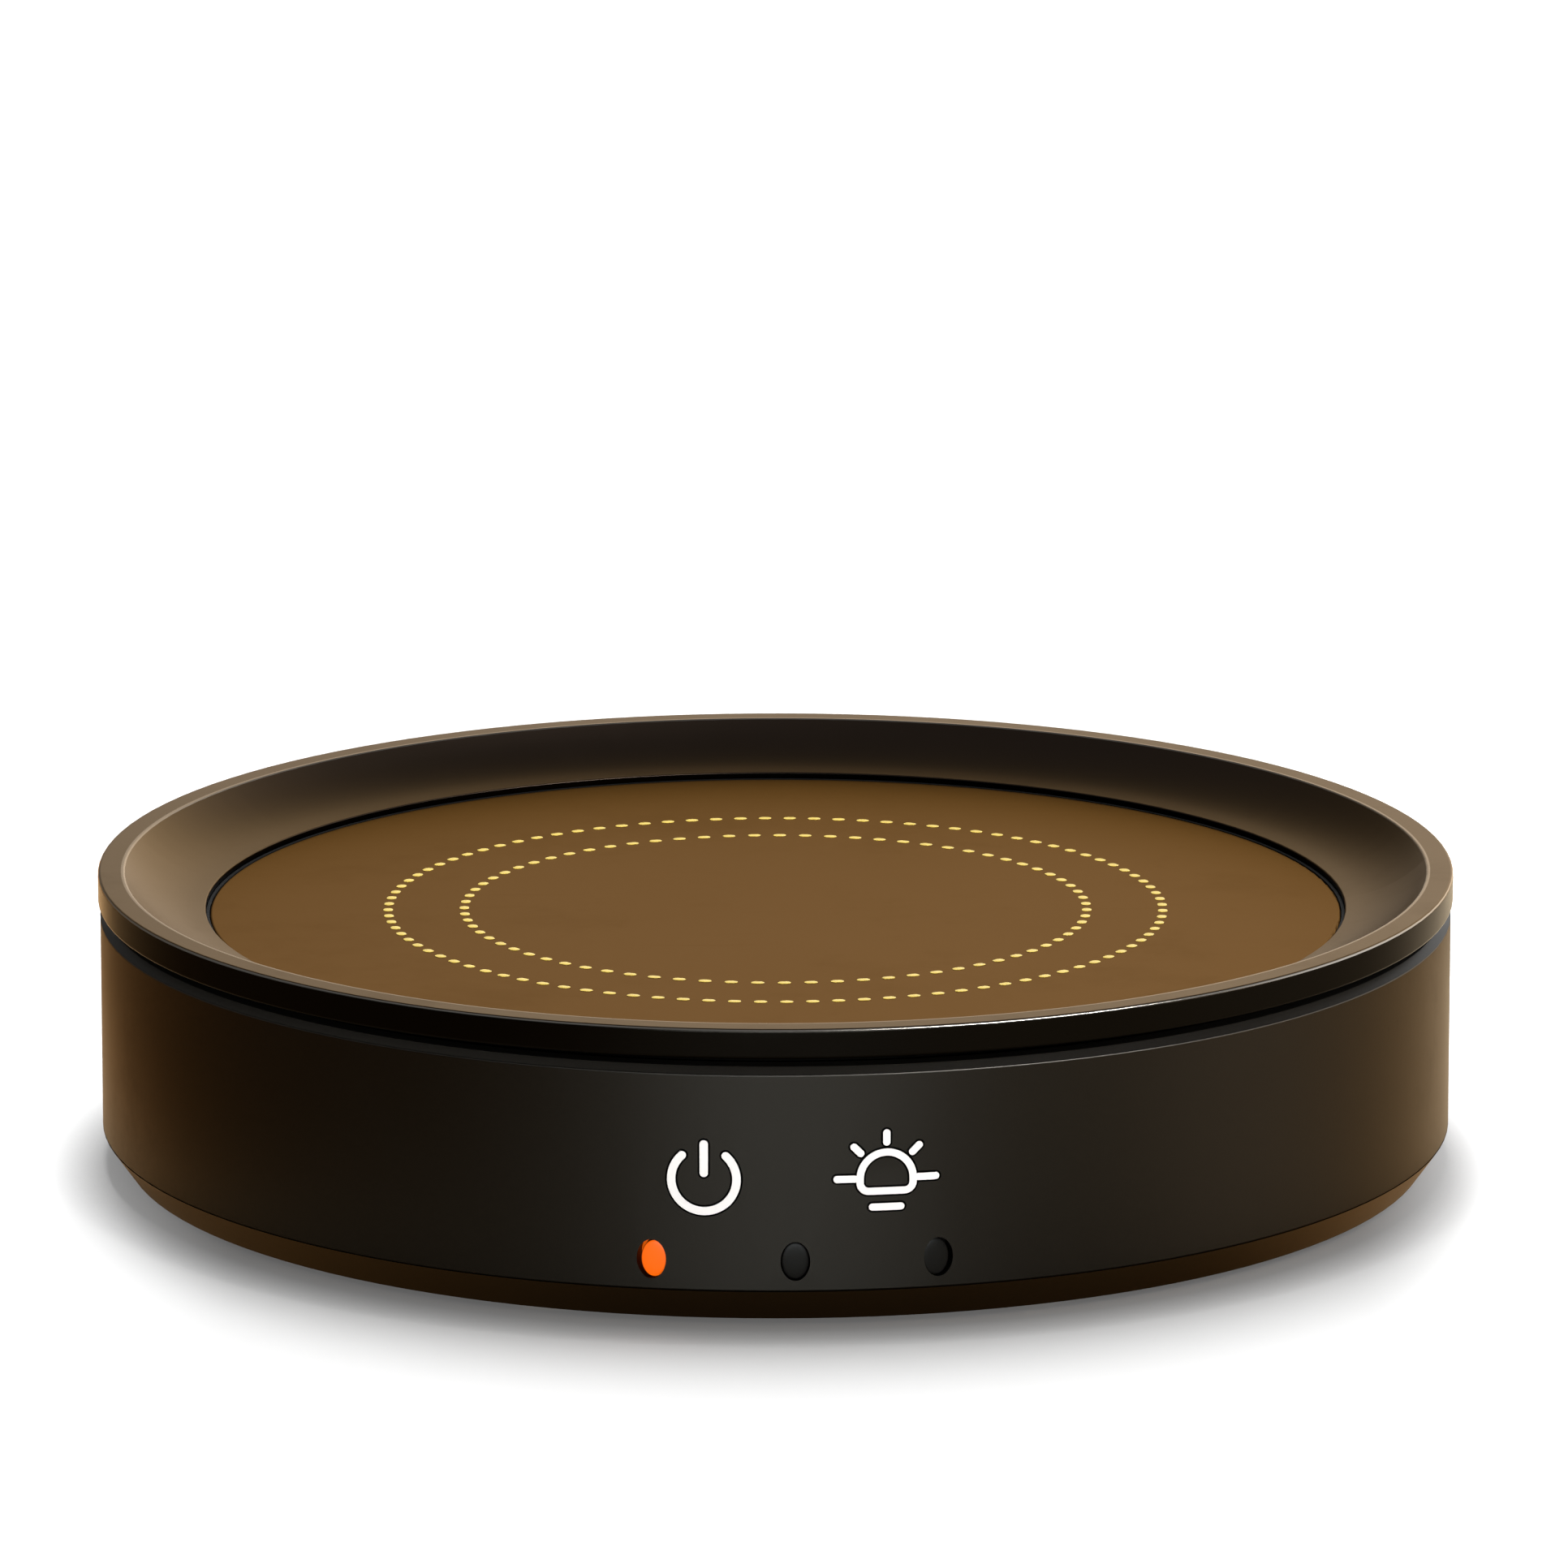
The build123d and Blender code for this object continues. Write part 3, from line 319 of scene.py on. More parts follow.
def moulded_group():
    """The skin of a moulded or coated piece: a faint mottle, a fine grain and a wandering gloss."""
    inputs = {"Colour": (0.5, 0.5, 0.5, 1.0), "Mottle": 0.1, "Grain Size": 0.2 * MM}
    inputs.update({"Gloss Patch Size": 14 * MM, "Roughness": 0.4, "Roughness Spread": 0.06})
    group, given, result = new_group("Moulded Skin", inputs, "Colour", "Roughness", "Height")
    place = place_on(group)
    grain = noise(group, place, scale_for(group, given["Grain Size"]), 2.0)
    patch = noise(group, place, scale_for(group, given["Gloss Patch Size"]), 4.0, 0.6)
    from_patch, from_grain = minus(group, patch, 0.5), minus(group, grain, 0.5)
    mottle = given["Mottle"]
    change = plus(group, times(group, from_patch, mottle), times(group, from_grain, mottle))
    tinted = scaled(group, given["Colour"], plus(group, change, 1.0))
    wander = times(group, from_patch, given["Roughness Spread"])
    rough = plus(group, given["Roughness"], wander, clamp=True)
    feed(group, result, {"Colour": tinted, "Roughness": rough, "Height": grain})
    return group


def handled_group():
    """Faint marks of handling, as a mask: soft smudges with a few hair-thin scuffs."""
    inputs = {"Smudge Size": 9 * MM, "Amount": 0.5}
    group, given, result = new_group("Handling Marks", inputs, "Mask")
    place = place_on(group)
    cloud = noise(group, place, scale_for(group, given["Smudge Size"]), 5.0, 0.7)
    streaks = noise(group, stretched(group, place, (60.0, 900.0, 900.0)), 1.0, 2.0)
    marks = larger(group, fade(group, cloud, 0.50, 0.72), remap(group, streaks, 0.70, 0.78, 0.0, 0.5))
    feed(group, result, {"Mask": times(group, marks, given["Amount"], clamp=True)})
    return group


def brushed_group():
    """Metal with fine lines along one axis, from rolling, drawing or turning."""
    inputs = {"Colour": (0.6, 0.6, 0.6, 1.0), "Stretch": (200.0, 8000.0, 8000.0)}
    inputs.update({"Contrast": 0.25, "Roughness": 0.3})
    group, given, result = new_group("Fine Lined Metal", inputs, "Colour", "Roughness", "Height")
    place = place_on(group)
    lines = noise(group, stretched(group, place, given["Stretch"]), 1.0, 3.0, 0.6)
    cloud = noise(group, place, 160.0)
    change = plus(group, minus(group, lines, 0.5), minus(group, cloud, 0.5))
    change = times(group, change, given["Contrast"])
    rough = plus(group, given["Roughness"], times(group, change, 0.4), clamp=True)
    tinted = scaled(group, given["Colour"], plus(group, change, 1.0))
    feed(group, result, {"Colour": tinted, "Roughness": rough, "Height": lines})
    return group


def circuit_group():
    """A circuit board: green solder mask over copper tracks, with bare tinned pads here and there."""
    inputs = {"Mask Colour": (0.010, 0.085, 0.035, 1.0), "Track Pitch": 1.6 * MM}
    group, given, result = new_group("Circuit Board", inputs, "Colour", "Roughness", "Metallic", "Height")
    covered_copper, tin = (0.035, 0.150, 0.060, 1.0), (0.62, 0.60, 0.55, 1.0)
    place, scale = place_on(group), scale_for(group, given["Track Pitch"])
    sizes = {"Mortar Size": 0.16, "Mortar Smooth": 0.0, "Brick Width": 6.0, "Row Height": 1.0}
    bricks = add(group, "ShaderNodeTexBrick", {"Vector": place, "Scale": scale, **sizes}, offset=0.37)
    tracks = bricks.outputs["Fac"]
    cells = add(group, "ShaderNodeTexVoronoi", {"Vector": place, "Scale": times(group, scale, 0.45)})
    pads = calculate(group, "LESS_THAN", cells.outputs["Distance"], 0.16)
    masked = blend_colours(group, tracks, given["Mask Colour"], covered_copper)
    rough = remap(group, pads, 0.0, 1.0, 0.38, 0.28)
    painted, height = blend_colours(group, pads, masked, tin), larger(group, tracks, pads)
    feed(group, result, {"Colour": painted, "Roughness": rough, "Metallic": pads, "Height": height})
    return group


def fibre_group():
    """Pressed fibres that lie every way: a felt, or the layers in a sheet of mica."""
    inputs = {"Colour": (0.8, 0.78, 0.72, 1.0), "Second Colour": (0.6, 0.56, 0.48, 1.0)}
    inputs["Fibre Size"] = 0.4 * MM
    group, given, result = new_group("Pressed Fibres", inputs, "Colour", "Height")
    place = scaled(group, place_on(group), scale_for(group, given["Fibre Size"]))
    twist = add(group, "ShaderNodeTexNoise", {"Vector": place, "Scale": 0.35, "Detail": 2.0})
    bent = add(group, "ShaderNodeVectorMath", {0: place, 1: twist.outputs["Color"]}, operation="ADD")
    long_way, cross_way = (
        noise(group, stretched(group, bent.outputs["Vector"], stretch), 1.0, 4.0, 0.65)
        for stretch in ((0.25, 1.0, 1.0), (1.0, 0.25, 1.0))
    )
    fibres = larger(group, long_way, cross_way)
    mask = remap(group, fibres, 0.45, 0.75, 0.0, 1.0)
    mixed = blend_colours(group, mask, given["Second Colour"], given["Colour"])
    feed(group, result, {"Colour": mixed, "Height": fibres})
    return group


def edge_group():
    """A mask between two radii and two rises of the surface. It picks the edge rounds that get a painted
    highlight and the pocket walls that get painted shade.
    """
    inputs = {"From Radius": 0.0, "To Radius": 1.0, "Least Rise": 0.1, "Most Rise": 0.95}
    group, given, result = new_group("Rounded Edge", inputs, "Mask")
    radius = span(group, stretched(group, place_on(group), (1.0, 1.0, 0.0)))
    rise = part_of(group, place_on(group, "Normal"), "Z")
    mask = 1.0
    for value, low, high, soft in (
        (radius, "From Radius", "To Radius", 0.04 * MM),
        (rise, "Least Rise", "Most Rise", 0.08),
    ):
        for inside in (minus(group, value, given[low]), minus(group, given[high], value)):
            mask = times(group, fade(group, inside, 0.0, soft), mask)
    feed(group, result, {"Mask": mask})
    return group


GROUP_MAKERS = {
    "Moulded Skin": moulded_group,
    "Handling Marks": handled_group,
    "Rounded Edge": edge_group,
    "Fine Lined Metal": brushed_group,
    "Circuit Board": circuit_group,
    "Pressed Fibres": fibre_group,
}


def place_group(tree, name, values):
    """A shared effect in a material's tree, with its own values. The group is made the first time."""
    group = bpy.data.node_groups.get(name) or GROUP_MAKERS[name]()
    return add(tree, "ShaderNodeGroup", values, node_tree=group)


# ================= Finishes =================


def new_finish(name, sockets):
    """A material whose shader has these values on its own sockets, with its tree and its shader."""
    material = bpy.data.materials.new(name)
    material.use_nodes = True
    shader = material.node_tree.nodes["Principled BSDF"]
    for socket, value in sockets.items():
        shader.inputs[socket].default_value = value
    return material, material.node_tree, shader


def made_from(effect, name, relief, values, sockets):
    """A finish from one shared effect. Also gives its tree, the effect's node and its shader."""
    material, tree, shader = new_finish(name, sockets)
    node = place_group(tree, effect, values)
    for output, socket in (("Colour", "Base Color"), ("Roughness", "Roughness"), ("Metallic", "Metallic")):
        if output in node.outputs:
            feed(tree, shader, {socket: node.outputs[output]})
    inputs = {"Height": node.outputs["Height"], "Distance": relief, "Strength": 1.0}
    bump = add(tree, "ShaderNodeBump", inputs)
    feed(tree, shader, {"Normal": bump.outputs["Normal"]})
    return material, tree, node, shader


def moulded(name, rgb, roughness, grain=0.2 * MM, relief=0.004 * MM, mottle=0.12, specular=0.4):
    """A moulded plastic, rubber, silicone or ink finish."""
    values = {"Colour": opaque(rgb), "Mottle": mottle, "Grain Size": grain, "Roughness": roughness}
    return made_from("Moulded Skin", name, relief, values, {"Specular IOR Level": specular})[0]


def metal(name, rgb, roughness, stretch=(200.0, 8000.0, 8000.0), contrast=0.25):
    """A bare metal finish with fine lines along one axis."""
    values = {"Colour": opaque(rgb), "Stretch": stretch, "Contrast": contrast, "Roughness": roughness}
    return made_from("Fine Lined Metal", name, 0.002 * MM, values, {"Metallic": 1.0})[0]


def fibrous(name, rgb, second_rgb, fibre, relief, roughness, coat=0.0):
    """A finish of pressed fibres or flakes."""
    values = {"Colour": opaque(rgb), "Second Colour": opaque(second_rgb), "Fibre Size": fibre}
    sockets = {"Roughness": roughness, "Specular IOR Level": 0.2, "Coat Weight": coat}
    return made_from("Pressed Fibres", name, relief, values, sockets)[0]


def soldered(name):
    """A circuit board's green lacquer, tracks and pads."""
    return made_from("Circuit Board", name, 0.03 * MM, {}, {"Specular IOR Level": 0.5})[0]


def satin(name, rgb, edge_tint, roughness, marks, patch=22 * MM):
    """A satin metallic lacquer with faint marks of handling. Gives what made_from gives."""
    values = {"Mottle": 0.12, "Grain Size": 0.15 * MM, "Gloss Patch Size": patch, "Roughness Spread": 0.05}
    values.update({"Colour": opaque(rgb), "Roughness": roughness})
    sockets = {"Metallic": 1.0, "Specular Tint": opaque(edge_tint)}
    material, tree, skin, shader = made_from("Moulded Skin", name, 0.003 * MM, values, sockets)
    smudges = place_group(tree, "Handling Marks", {"Smudge Size": 0.7 * patch, "Amount": marks})
    feed(tree, shader, {"Roughness": plus(tree, skin.outputs["Roughness"], smudges.outputs["Mask"])})
    return material, tree, skin, shader


def highlight_or_shade_strip(tree, nearest, farthest=1.0, least_rise=0.22, most_rise=0.82):
    """The mask of an edge's round that gets a painted highlight, or of another strip between two radii and
    two rises, such as pocket walls that get painted shade.
    """
    values = {"From Radius": nearest, "To Radius": farthest, "Least Rise": least_rise}
    return place_group(tree, "Rounded Edge", {**values, "Most Rise": most_rise}).outputs["Mask"]


def drum_finish(colours):
    """The housing: satin, with a painted highlight on the round at the top of the wall, and painted shade,
    near black, inside its pockets.
    """
    material, tree, skin, _ = satin("Drum Satin", colours.drum, colours.drum_edge, 0.40, 0.035)
    wall, edge_round, highlight_strength = reach_of("housing"), 0.25 * MM, 0.20
    pocket_floor, pocket_mouth, pocket_shade = wall - 0.9 * MM, wall - 0.10 * MM, (0.0004, 0.0004, 0.0004)
    # Painted highlight: the round at the top of the wall is paled towards the edge highlight colour,
    # standing for a lamp's highlight line.
    painted_highlight = times(tree, highlight_or_shade_strip(tree, wall - edge_round), highlight_strength)
    with_highlight = blend_colours(tree, painted_highlight, opaque(colours.drum), opaque(colours.painted_edge_highlight))
    # Painted shade: the walls and floors inside the pockets are coloured near black, as the shade inside
    # them.
    shaded_pockets = highlight_or_shade_strip(tree, pocket_floor, pocket_mouth, -0.2, 0.2)
    feed(tree, skin, {"Colour": blend_colours(tree, shaded_pockets, with_highlight, opaque(pocket_shade))})
    return material


def tray_finish(colours):
    """The tray: one satin finish with painted light. Where it faces up, the lip and dish are painted a
    lighter bronze-brown as if lit from above; the band round the outside is painted near black as if in
    shade.
    """
    lip_roughness, band_roughness = 0.34, 0.22
    material, tree, skin, shader = satin("Tray Satin", colours.dish, colours.dish_edge, lip_roughness, 0.03)
    # Painted light and shade: up-facing surfaces take the lighter dish colour and the upright band takes the
    # near-black band colour, lit and shaded copies of one finish; the grazing tint switches with them.
    facing_up = fade(tree, part_of(tree, place_on(tree, "Normal"), "Z"), 0.10, 0.60)
    lit_top_shaded_side = blend_colours(tree, facing_up, opaque(colours.band), opaque(colours.dish))
    edge_tint = blend_colours(tree, facing_up, opaque(colours.band_edge), opaque(colours.dish_edge))
    rim, rim_round, lip_width, inner_highlight_strength, polish_gloss = reach_of("tray"), 0.34 * MM, 2.5 * MM, 0.60, 0.12
    # Painted highlight: a strip of the lip's top at its inner edge and the round of the rim's outer edge are
    # paled towards the edge highlight colour, standing for the lamps' highlight lines; these strips are also
    # made glossier.
    inner_highlight = highlight_or_shade_strip(tree, rim - lip_width - 0.12 * MM, rim - lip_width + 0.30 * MM, 0.6, 1.2)
    edge = larger(tree, highlight_or_shade_strip(tree, rim - rim_round), times(tree, inner_highlight, inner_highlight_strength))
    rough = remap(tree, facing_up, 0.0, 1.0, band_roughness, lip_roughness)
    painted_highlight = blend_colours(tree, edge, lit_top_shaded_side, opaque(colours.painted_edge_highlight))
    feed(tree, skin, {"Colour": painted_highlight, "Roughness": minus(tree, rough, times(tree, edge, polish_gloss))})
    feed(tree, shader, {"Specular Tint": edge_tint})
    return material


def front_and_sides(tree, front, sides):
    """One colour where a surface near the front faces outwards, and another on its sides."""
    face = fade(tree, part_of(tree, place_on(tree, "Normal"), "Y"), -0.93, -0.80, 1.0, 0.0)
    return blend_colours(tree, face, opaque(sides), opaque(front))


def sign_finish(colours):
    """The white inlays of the touch signs. Their sides are painted black, as painted shade that outlines
    them in their pockets.
    """
    values = {"Mottle": 0.05, "Grain Size": 0.25 * MM, "Roughness": 0.5}
    sockets = {"Specular IOR Level": 0.3}
    material, tree, skin, _ = made_from("Moulded Skin", "Sign White", 0.002 * MM, values, sockets)
    # Painted shade: the inlay's sides are near black.
    feed(tree, skin, {"Colour": front_and_sides(tree, colours.sign, (0.004, 0.004, 0.004))})
    return material


def lens_finish(name, body_colour, glow_colour, specular):
    """A window's moulded light guide, with sides painted black as painted shade round it in its hole. Its
    face glows evenly, or not at all.
    """
    values = {"Mottle": 0.06, "Grain Size": 0.2 * MM, "Roughness": 0.34}
    sockets = {"Emission Strength": 1.0, "Specular IOR Level": specular}
    material, tree, skin, shader = made_from("Moulded Skin", name, 0.002 * MM, values, sockets)
    # Painted shade: the lens's sides are near black.
    feed(tree, skin, {"Colour": front_and_sides(tree, body_colour, (0.002, 0.002, 0.002))})
    feed(tree, shader, {"Emission Color": front_and_sides(tree, glow_colour, (0.0, 0.0, 0.0))})
    return material


# Finishes that take a colour from the settings.
COLOURED_FINISHES = {
    "drum": drum_finish,
    "cover": lambda tones: satin("Cover Satin", tones.cover, tones.cover_edge, 0.42, 0.035)[0],
    "tray": tray_finish,
    "plate": lambda tones: satin("Plate Coating", tones.plate, tones.plate_edge, 0.46, 0.03, 30 * MM)[0],
    "gold": lambda tones: moulded("Gold Ink", tones.gold, 0.35, 0.10 * MM, 0.003 * MM, 0.30, 0.2),
    "sign": sign_finish,
    "smoked": lambda tones: moulded("Smoked Ring", tones.smoked, 0.40, 0.3 * MM, 0.001 * MM, 0.2, 0.04),
    "rubber": lambda tones: moulded("Foot Rubber", tones.rubber, 0.75, 0.25 * MM, 0.01 * MM, 0.35),
    "lit_lens": lambda tones: lens_finish("Lit Lens", (0.56, 0.075, 0.001), tones.lit_window, 0.1),
}
# The others, each as its maker and what it is made with.
PLAIN_FINISHES = {
    "silicone": (moulded, "Seal Silicone", (0.006, 0.006, 0.006), 0.7, 0.3 * MM, 0.004 * MM, 0.12, 0.15),
    "dark_lens": (lens_finish, "Dark Lens", (0.0045, 0.0045, 0.0042), (0.0, 0.0, 0.0), 0.05),
    "steel": (metal, "Zinc Plated Steel", (0.56, 0.55, 0.52), 0.32),
    "spring": (metal, "Spring Wire", (0.46, 0.45, 0.44), 0.26),
    "aluminium": (metal, "Mill Aluminium", (0.72, 0.72, 0.73), 0.36, (120.0, 5000.0, 5000.0), 0.2),
    "nickel": (metal, "Nickel Plate", (0.70, 0.67, 0.62), 0.15),
    "brass": (metal, "Brass", (0.72, 0.50, 0.20), 0.28),
    "acetal": (moulded, "Natural Acetal", (0.72, 0.70, 0.63), 0.38, 0.3 * MM, 0.004 * MM, 0.05),
    "mica": (fibrous, "Mica Sheet", (0.46, 0.37, 0.24), (0.30, 0.22, 0.13), 1.6 * MM, 0.01 * MM, 0.35, 0.3),
    "felt": (fibrous, "Pressed Felt", (0.78, 0.76, 0.70), (0.58, 0.55, 0.48), 0.35 * MM, 0.06 * MM, 0.95),
    "board": (soldered, "Circuit Board Green"),
    "package": (moulded, "Moulded Package", (0.016, 0.016, 0.017), 0.55, 0.18 * MM, 0.006 * MM, 0.3),
    "nylon": (moulded, "White Nylon", (0.74, 0.72, 0.66), 0.42, 0.4 * MM, 0.004 * MM, 0.06),
    "lamp": (moulded, "Lamp Resin", (0.80, 0.68, 0.36), 0.2, 0.5 * MM, 0.002 * MM, 0.1),
    "red_wire": (moulded, "Red Silicone Wire", (0.36, 0.016, 0.010), 0.5, 0.4 * MM, 0.006 * MM),
    "grey_wire": (moulded, "Grey Hook-up Wire", (0.16, 0.16, 0.17), 0.42, 0.4 * MM),
    "socket": (moulded, "Socket Black", (0.010, 0.010, 0.010), 0.4, 0.3 * MM, 0.006 * MM, 0.2),
}
finishes = {}


def finish(key):
    """A finish by its key. It is made once, with the scene's colours."""
    if key not in finishes:
        if key in COLOURED_FINISHES:
            finishes[key] = COLOURED_FINISHES[key](bpy.context.scene.warmer_colours)
        else:
            maker, *values = PLAIN_FINISHES[key]
            finishes[key] = maker(*values)
    return finishes[key]


def dress(**keys):
    """Gives frame nodes their finishes, as node=finish pairs."""
    for node, key in keys.items():
        for slot in NODES[node].material_slots:
            slot.material = finish(key)


# ================= Mesh helpers =================


def around(azimuth, radius, height=0.0):
    """The place at an azimuth in degrees, a radius and a height."""
    turn = math.radians(azimuth)
    return Vector((radius * math.sin(turn), -radius * math.cos(turn), height))


def wall_matrix(azimuth, height):
    """Axes on the wall at an azimuth: X to the right along it, Y up and Z outwards from the middle axis."""
    matrix = Matrix((around(azimuth + 90.0, 1.0), (0.0, 0.0, 1.0), around(azimuth, 1.0)))
    matrix = matrix.transposed().to_4x4()
    matrix.translation = (0.0, 0.0, height)
    return matrix


def unit_circle(steps):
    """Points round a circle of radius 1."""
    turns = [math.tau * step / steps for step in range(steps)]
    return [(math.cos(turn), math.sin(turn)) for turn in turns]


def finish_piece(name, shape, body, key):
    """Turns a bmesh into a named piece that rides on a body and a finish."""
    bmesh.ops.recalc_face_normals(shape, faces=shape.faces)
    mesh = bpy.data.meshes.new(name)
    shape.to_mesh(mesh)
    shape.free()
    mesh.shade_smooth()
    mesh.set_sharp_from_angle(angle=math.radians(38))
    piece = bpy.data.objects.new(name, mesh)
    bpy.context.scene.collection.objects.link(piece)
    mesh.materials.append(finish(key))
    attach(piece, body)
    return piece


def bridge(shape, first, second):
    """Faces between two rings of as many vertices."""
    for index in range(len(first)):
        after = (index + 1) % len(first)
        shape.faces.new((first[index], first[after], second[after], second[index]))


def add_rings(shape, layers):
    """Rings of vertices at these points, each joined to the next."""
    rings = [[shape.verts.new(point) for point in layer] for layer in layers]
    for first, second in zip(rings, rings[1:]):
        bridge(shape, first, second)
    return rings


def add_layers(shape, layers):
    """A closed form from rings of points, with a face over each end."""
    rings = add_rings(shape, layers)
    shape.faces.new(reversed(rings[0]))
    shape.faces.new(rings[-1])


def corners(centre):
    """The four corners of a square round the middle axis."""
    return [(x, y) for x in (-centre, centre) for y in (-centre, centre)]


def lathe(shape, profile, centre, steps=64):
    """A closed form from a (radius, height) profile that starts and ends on the axis."""
    rings = add_rings(
        shape,
        [
            [(centre[0] + radius * x, centre[1] + radius * y, height) for x, y in unit_circle(steps)]
            for radius, height in profile[1:-1]
        ],
    )
    for ring, (_, height) in ((rings[0], profile[0]), (rings[-1], profile[-1])):
        middle = shape.verts.new((*centre, height))
        for index in range(steps):
            shape.faces.new((middle, ring[index], ring[(index + 1) % steps]))


def tube(shape, points, radius, steps=12):
    """A round wire through points, closed at its ends, with as little twist as its path allows."""
    side = None
    layers = []
    for index, point in enumerate(points):
        along = (points[min(index + 1, len(points) - 1)] - points[max(index - 1, 0)]).normalized()
        side = (along.orthogonal() if side is None else side - along * side.dot(along)).normalized()
        across = along.cross(side)
        layers.append([point + radius * (x * side + y * across) for x, y in unit_circle(steps)])
    add_layers(shape, layers)


# ================= Pieces =================


class WARMER_OT_shells(bpy.types.Operator):
    """Finish the housing, the base cover and the light ring"""

    bl_idname = "warmer.shells"
    bl_label = "Shells"

    def execute(self, context):
        dress(housing="drum", base_cover="cover", light_ring="smoked")
        return {"FINISHED"}


class WARMER_OT_platform(bpy.types.Operator):
    """Finish the tray, the heating plate and its seal"""

    bl_idname = "warmer.platform"
    bl_label = "Tray and Plate"

    def execute(self, context):
        dress(tray="tray", heating_plate="plate", plate_seal="silicone")
        return {"FINISHED"}


class WARMER_OT_printed_rings(bpy.types.Operator):
    """Print the two dashed rings on the plate"""

    bl_idname = "warmer.printed_rings"
    bl_label = "Printed Rings"

    def execute(self, context):
        sizes = context.scene.warmer_sizes
        for name, radius, dashes in (
            ("outer_dash_ring", sizes.outer_ring, sizes.outer_dashes),
            ("inner_dash_ring", sizes.inner_ring, sizes.inner_dashes),
        ):
            shape = bmesh.new()
            for index in range(dashes):
                self.add_dash(shape, sizes, radius, 360.0 * index / dashes)
            finish_piece(name, shape, "platform", "gold")
        return {"FINISHED"}

    def add_dash(self, shape, sizes, radius, azimuth):
        """One dash: a bar with round ends, sunk a hair into the plate, with a softened upper edge."""
        shaded_pockets, softened, steps = 0.01 * MM, 0.10, 20
        plate_top = top_of("heating_plate")
        outwards, along = around(azimuth, 1.0), around(azimuth + 90.0, 1.0)
        straight = (sizes.dash_length - sizes.dash_width) / 2
        layers = []
        for inset, height in ((0.0, -shaded_pockets), (0.0, 0.6 * sizes.dash_height), (softened, sizes.dash_height)):
            half = sizes.dash_width / 2 * (1 - inset)
            middle = around(azimuth, radius, plate_top + height)
            ring = []
            for step in range(steps):
                turn = math.tau * (step + 0.5) / steps
                end = math.copysign(straight, math.cos(turn)) + half * math.cos(turn)
                ring.append(middle + along * end + outwards * half * math.sin(turn))
            layers.append(ring)
        add_layers(shape, layers)


class WARMER_OT_signs(bpy.types.Operator):
    """Finish the two touch signs"""

    bl_idname = "warmer.signs"
    bl_label = "Touch Signs"

    def execute(self, context):
        dress(power_symbol="sign", lamp_symbol="sign")
        return {"FINISHED"}


class WARMER_OT_windows(bpy.types.Operator):
    """Fit the crowned lenses of the three heat windows"""

    bl_idname = "warmer.windows"
    bl_label = "Heat Windows"

    def execute(self, context):
        for node, key, slot in (
            ("low_heat_window", "lit_lens", "amber_lens"),
            ("medium_heat_window", "dark_lens", "dark_lens"),
            ("high_heat_window", "dark_lens", "dark_lens"),
        ):
            shape = self.shape_lens(node, context.scene.warmer_sizes.lens_crown)
            piece = finish_piece(node.replace("window", "lens"), shape, "base", key)
            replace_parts(piece, node)
        return {"FINISHED"}

    def shape_lens(self, node, crown):
        """A lens with a crowned face, a flange behind the wall and a short light guide."""
        flange_proud, flange_thick, guide, rim = 0.6 * MM, 0.8 * MM, 0.4 * MM, 0.05 * MM
        width_share, crown_steps, oval_steps = 1.22 / 1.7, 6, 48
        low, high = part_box(node)
        middle = (low + high) / 2
        azimuth = math.degrees(math.atan2(middle.x, -middle.y))
        reaches = [vert.co.dot(around(azimuth, 1.0)) for vert in NODES[node].data.vertices]
        face, back = max(reaches), min(reaches)
        half_height = (high.z - low.z) / 2 - flange_proud
        half_width = half_height * width_share
        flange_start, flange_end, shoulder = back + guide, back + guide + flange_thick, face - crown - rim
        rows = [(back, 0.0), (flange_start, 0.0), (flange_start, flange_proud)]
        rows += [(flange_end, flange_proud), (flange_end, 0.0), (shoulder, 0.0)]
        rows = [(out, half_width + grow, half_height + grow) for out, grow in rows]
        for step in range(1, crown_steps):
            turn = math.pi / 2 * step / crown_steps
            left = math.cos(turn)
            rows.append((shoulder + crown * math.sin(turn), half_width * left, half_height * left))
        wall, circle = wall_matrix(azimuth, middle.z), unit_circle(oval_steps)
        layers = []
        for out, wide, tall in rows:
            layers.append([wall @ Vector((wide * x, tall * y, out)) for x, y in circle])
        shape = bmesh.new()
        add_layers(shape, layers)
        return shape


class WARMER_OT_feet(bpy.types.Operator):
    """Fit the four ribbed rubber feet"""

    bl_idname = "warmer.feet"
    bl_label = "Feet"

    def execute(self, context):
        grooves = context.scene.warmer_sizes.foot_grooves
        low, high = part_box("feet")
        radius, edge, groove = 6.0 * MM, 0.3 * MM, 0.25 * MM
        centre = high.x - radius
        pitch = (radius - edge) / (grooves + 1)
        profile = [(0.0, low.z)]
        for index in range(grooves):
            middle = pitch * (index + 1)
            profile += [(middle - 2 * groove, low.z), (middle - groove, low.z + groove)]
            profile += [(middle + groove, low.z + groove), (middle + 2 * groove, low.z)]
        profile += [(radius - edge, low.z), (radius - 0.3 * edge, low.z + 0.3 * edge)]
        profile += [(radius, low.z + edge), (radius, high.z), (0.0, high.z)]
        shape = bmesh.new()
        for corner in corners(centre):
            lathe(shape, profile, corner)
        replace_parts(finish_piece("ribbed_feet", shape, "base", "rubber"), "feet")
        return {"FINISHED"}


class WARMER_OT_fasteners(bpy.types.Operator):
    """Finish the screws and the guide bushes"""

    bl_idname = "warmer.fasteners"
    bl_label = "Fasteners"

    def execute(self, context):
        dress(cover_screws="steel", board_screws="steel", retainer_screws="steel", guide_screws="steel")
        dress(guide_bushes="acetal")
        return {"FINISHED"}


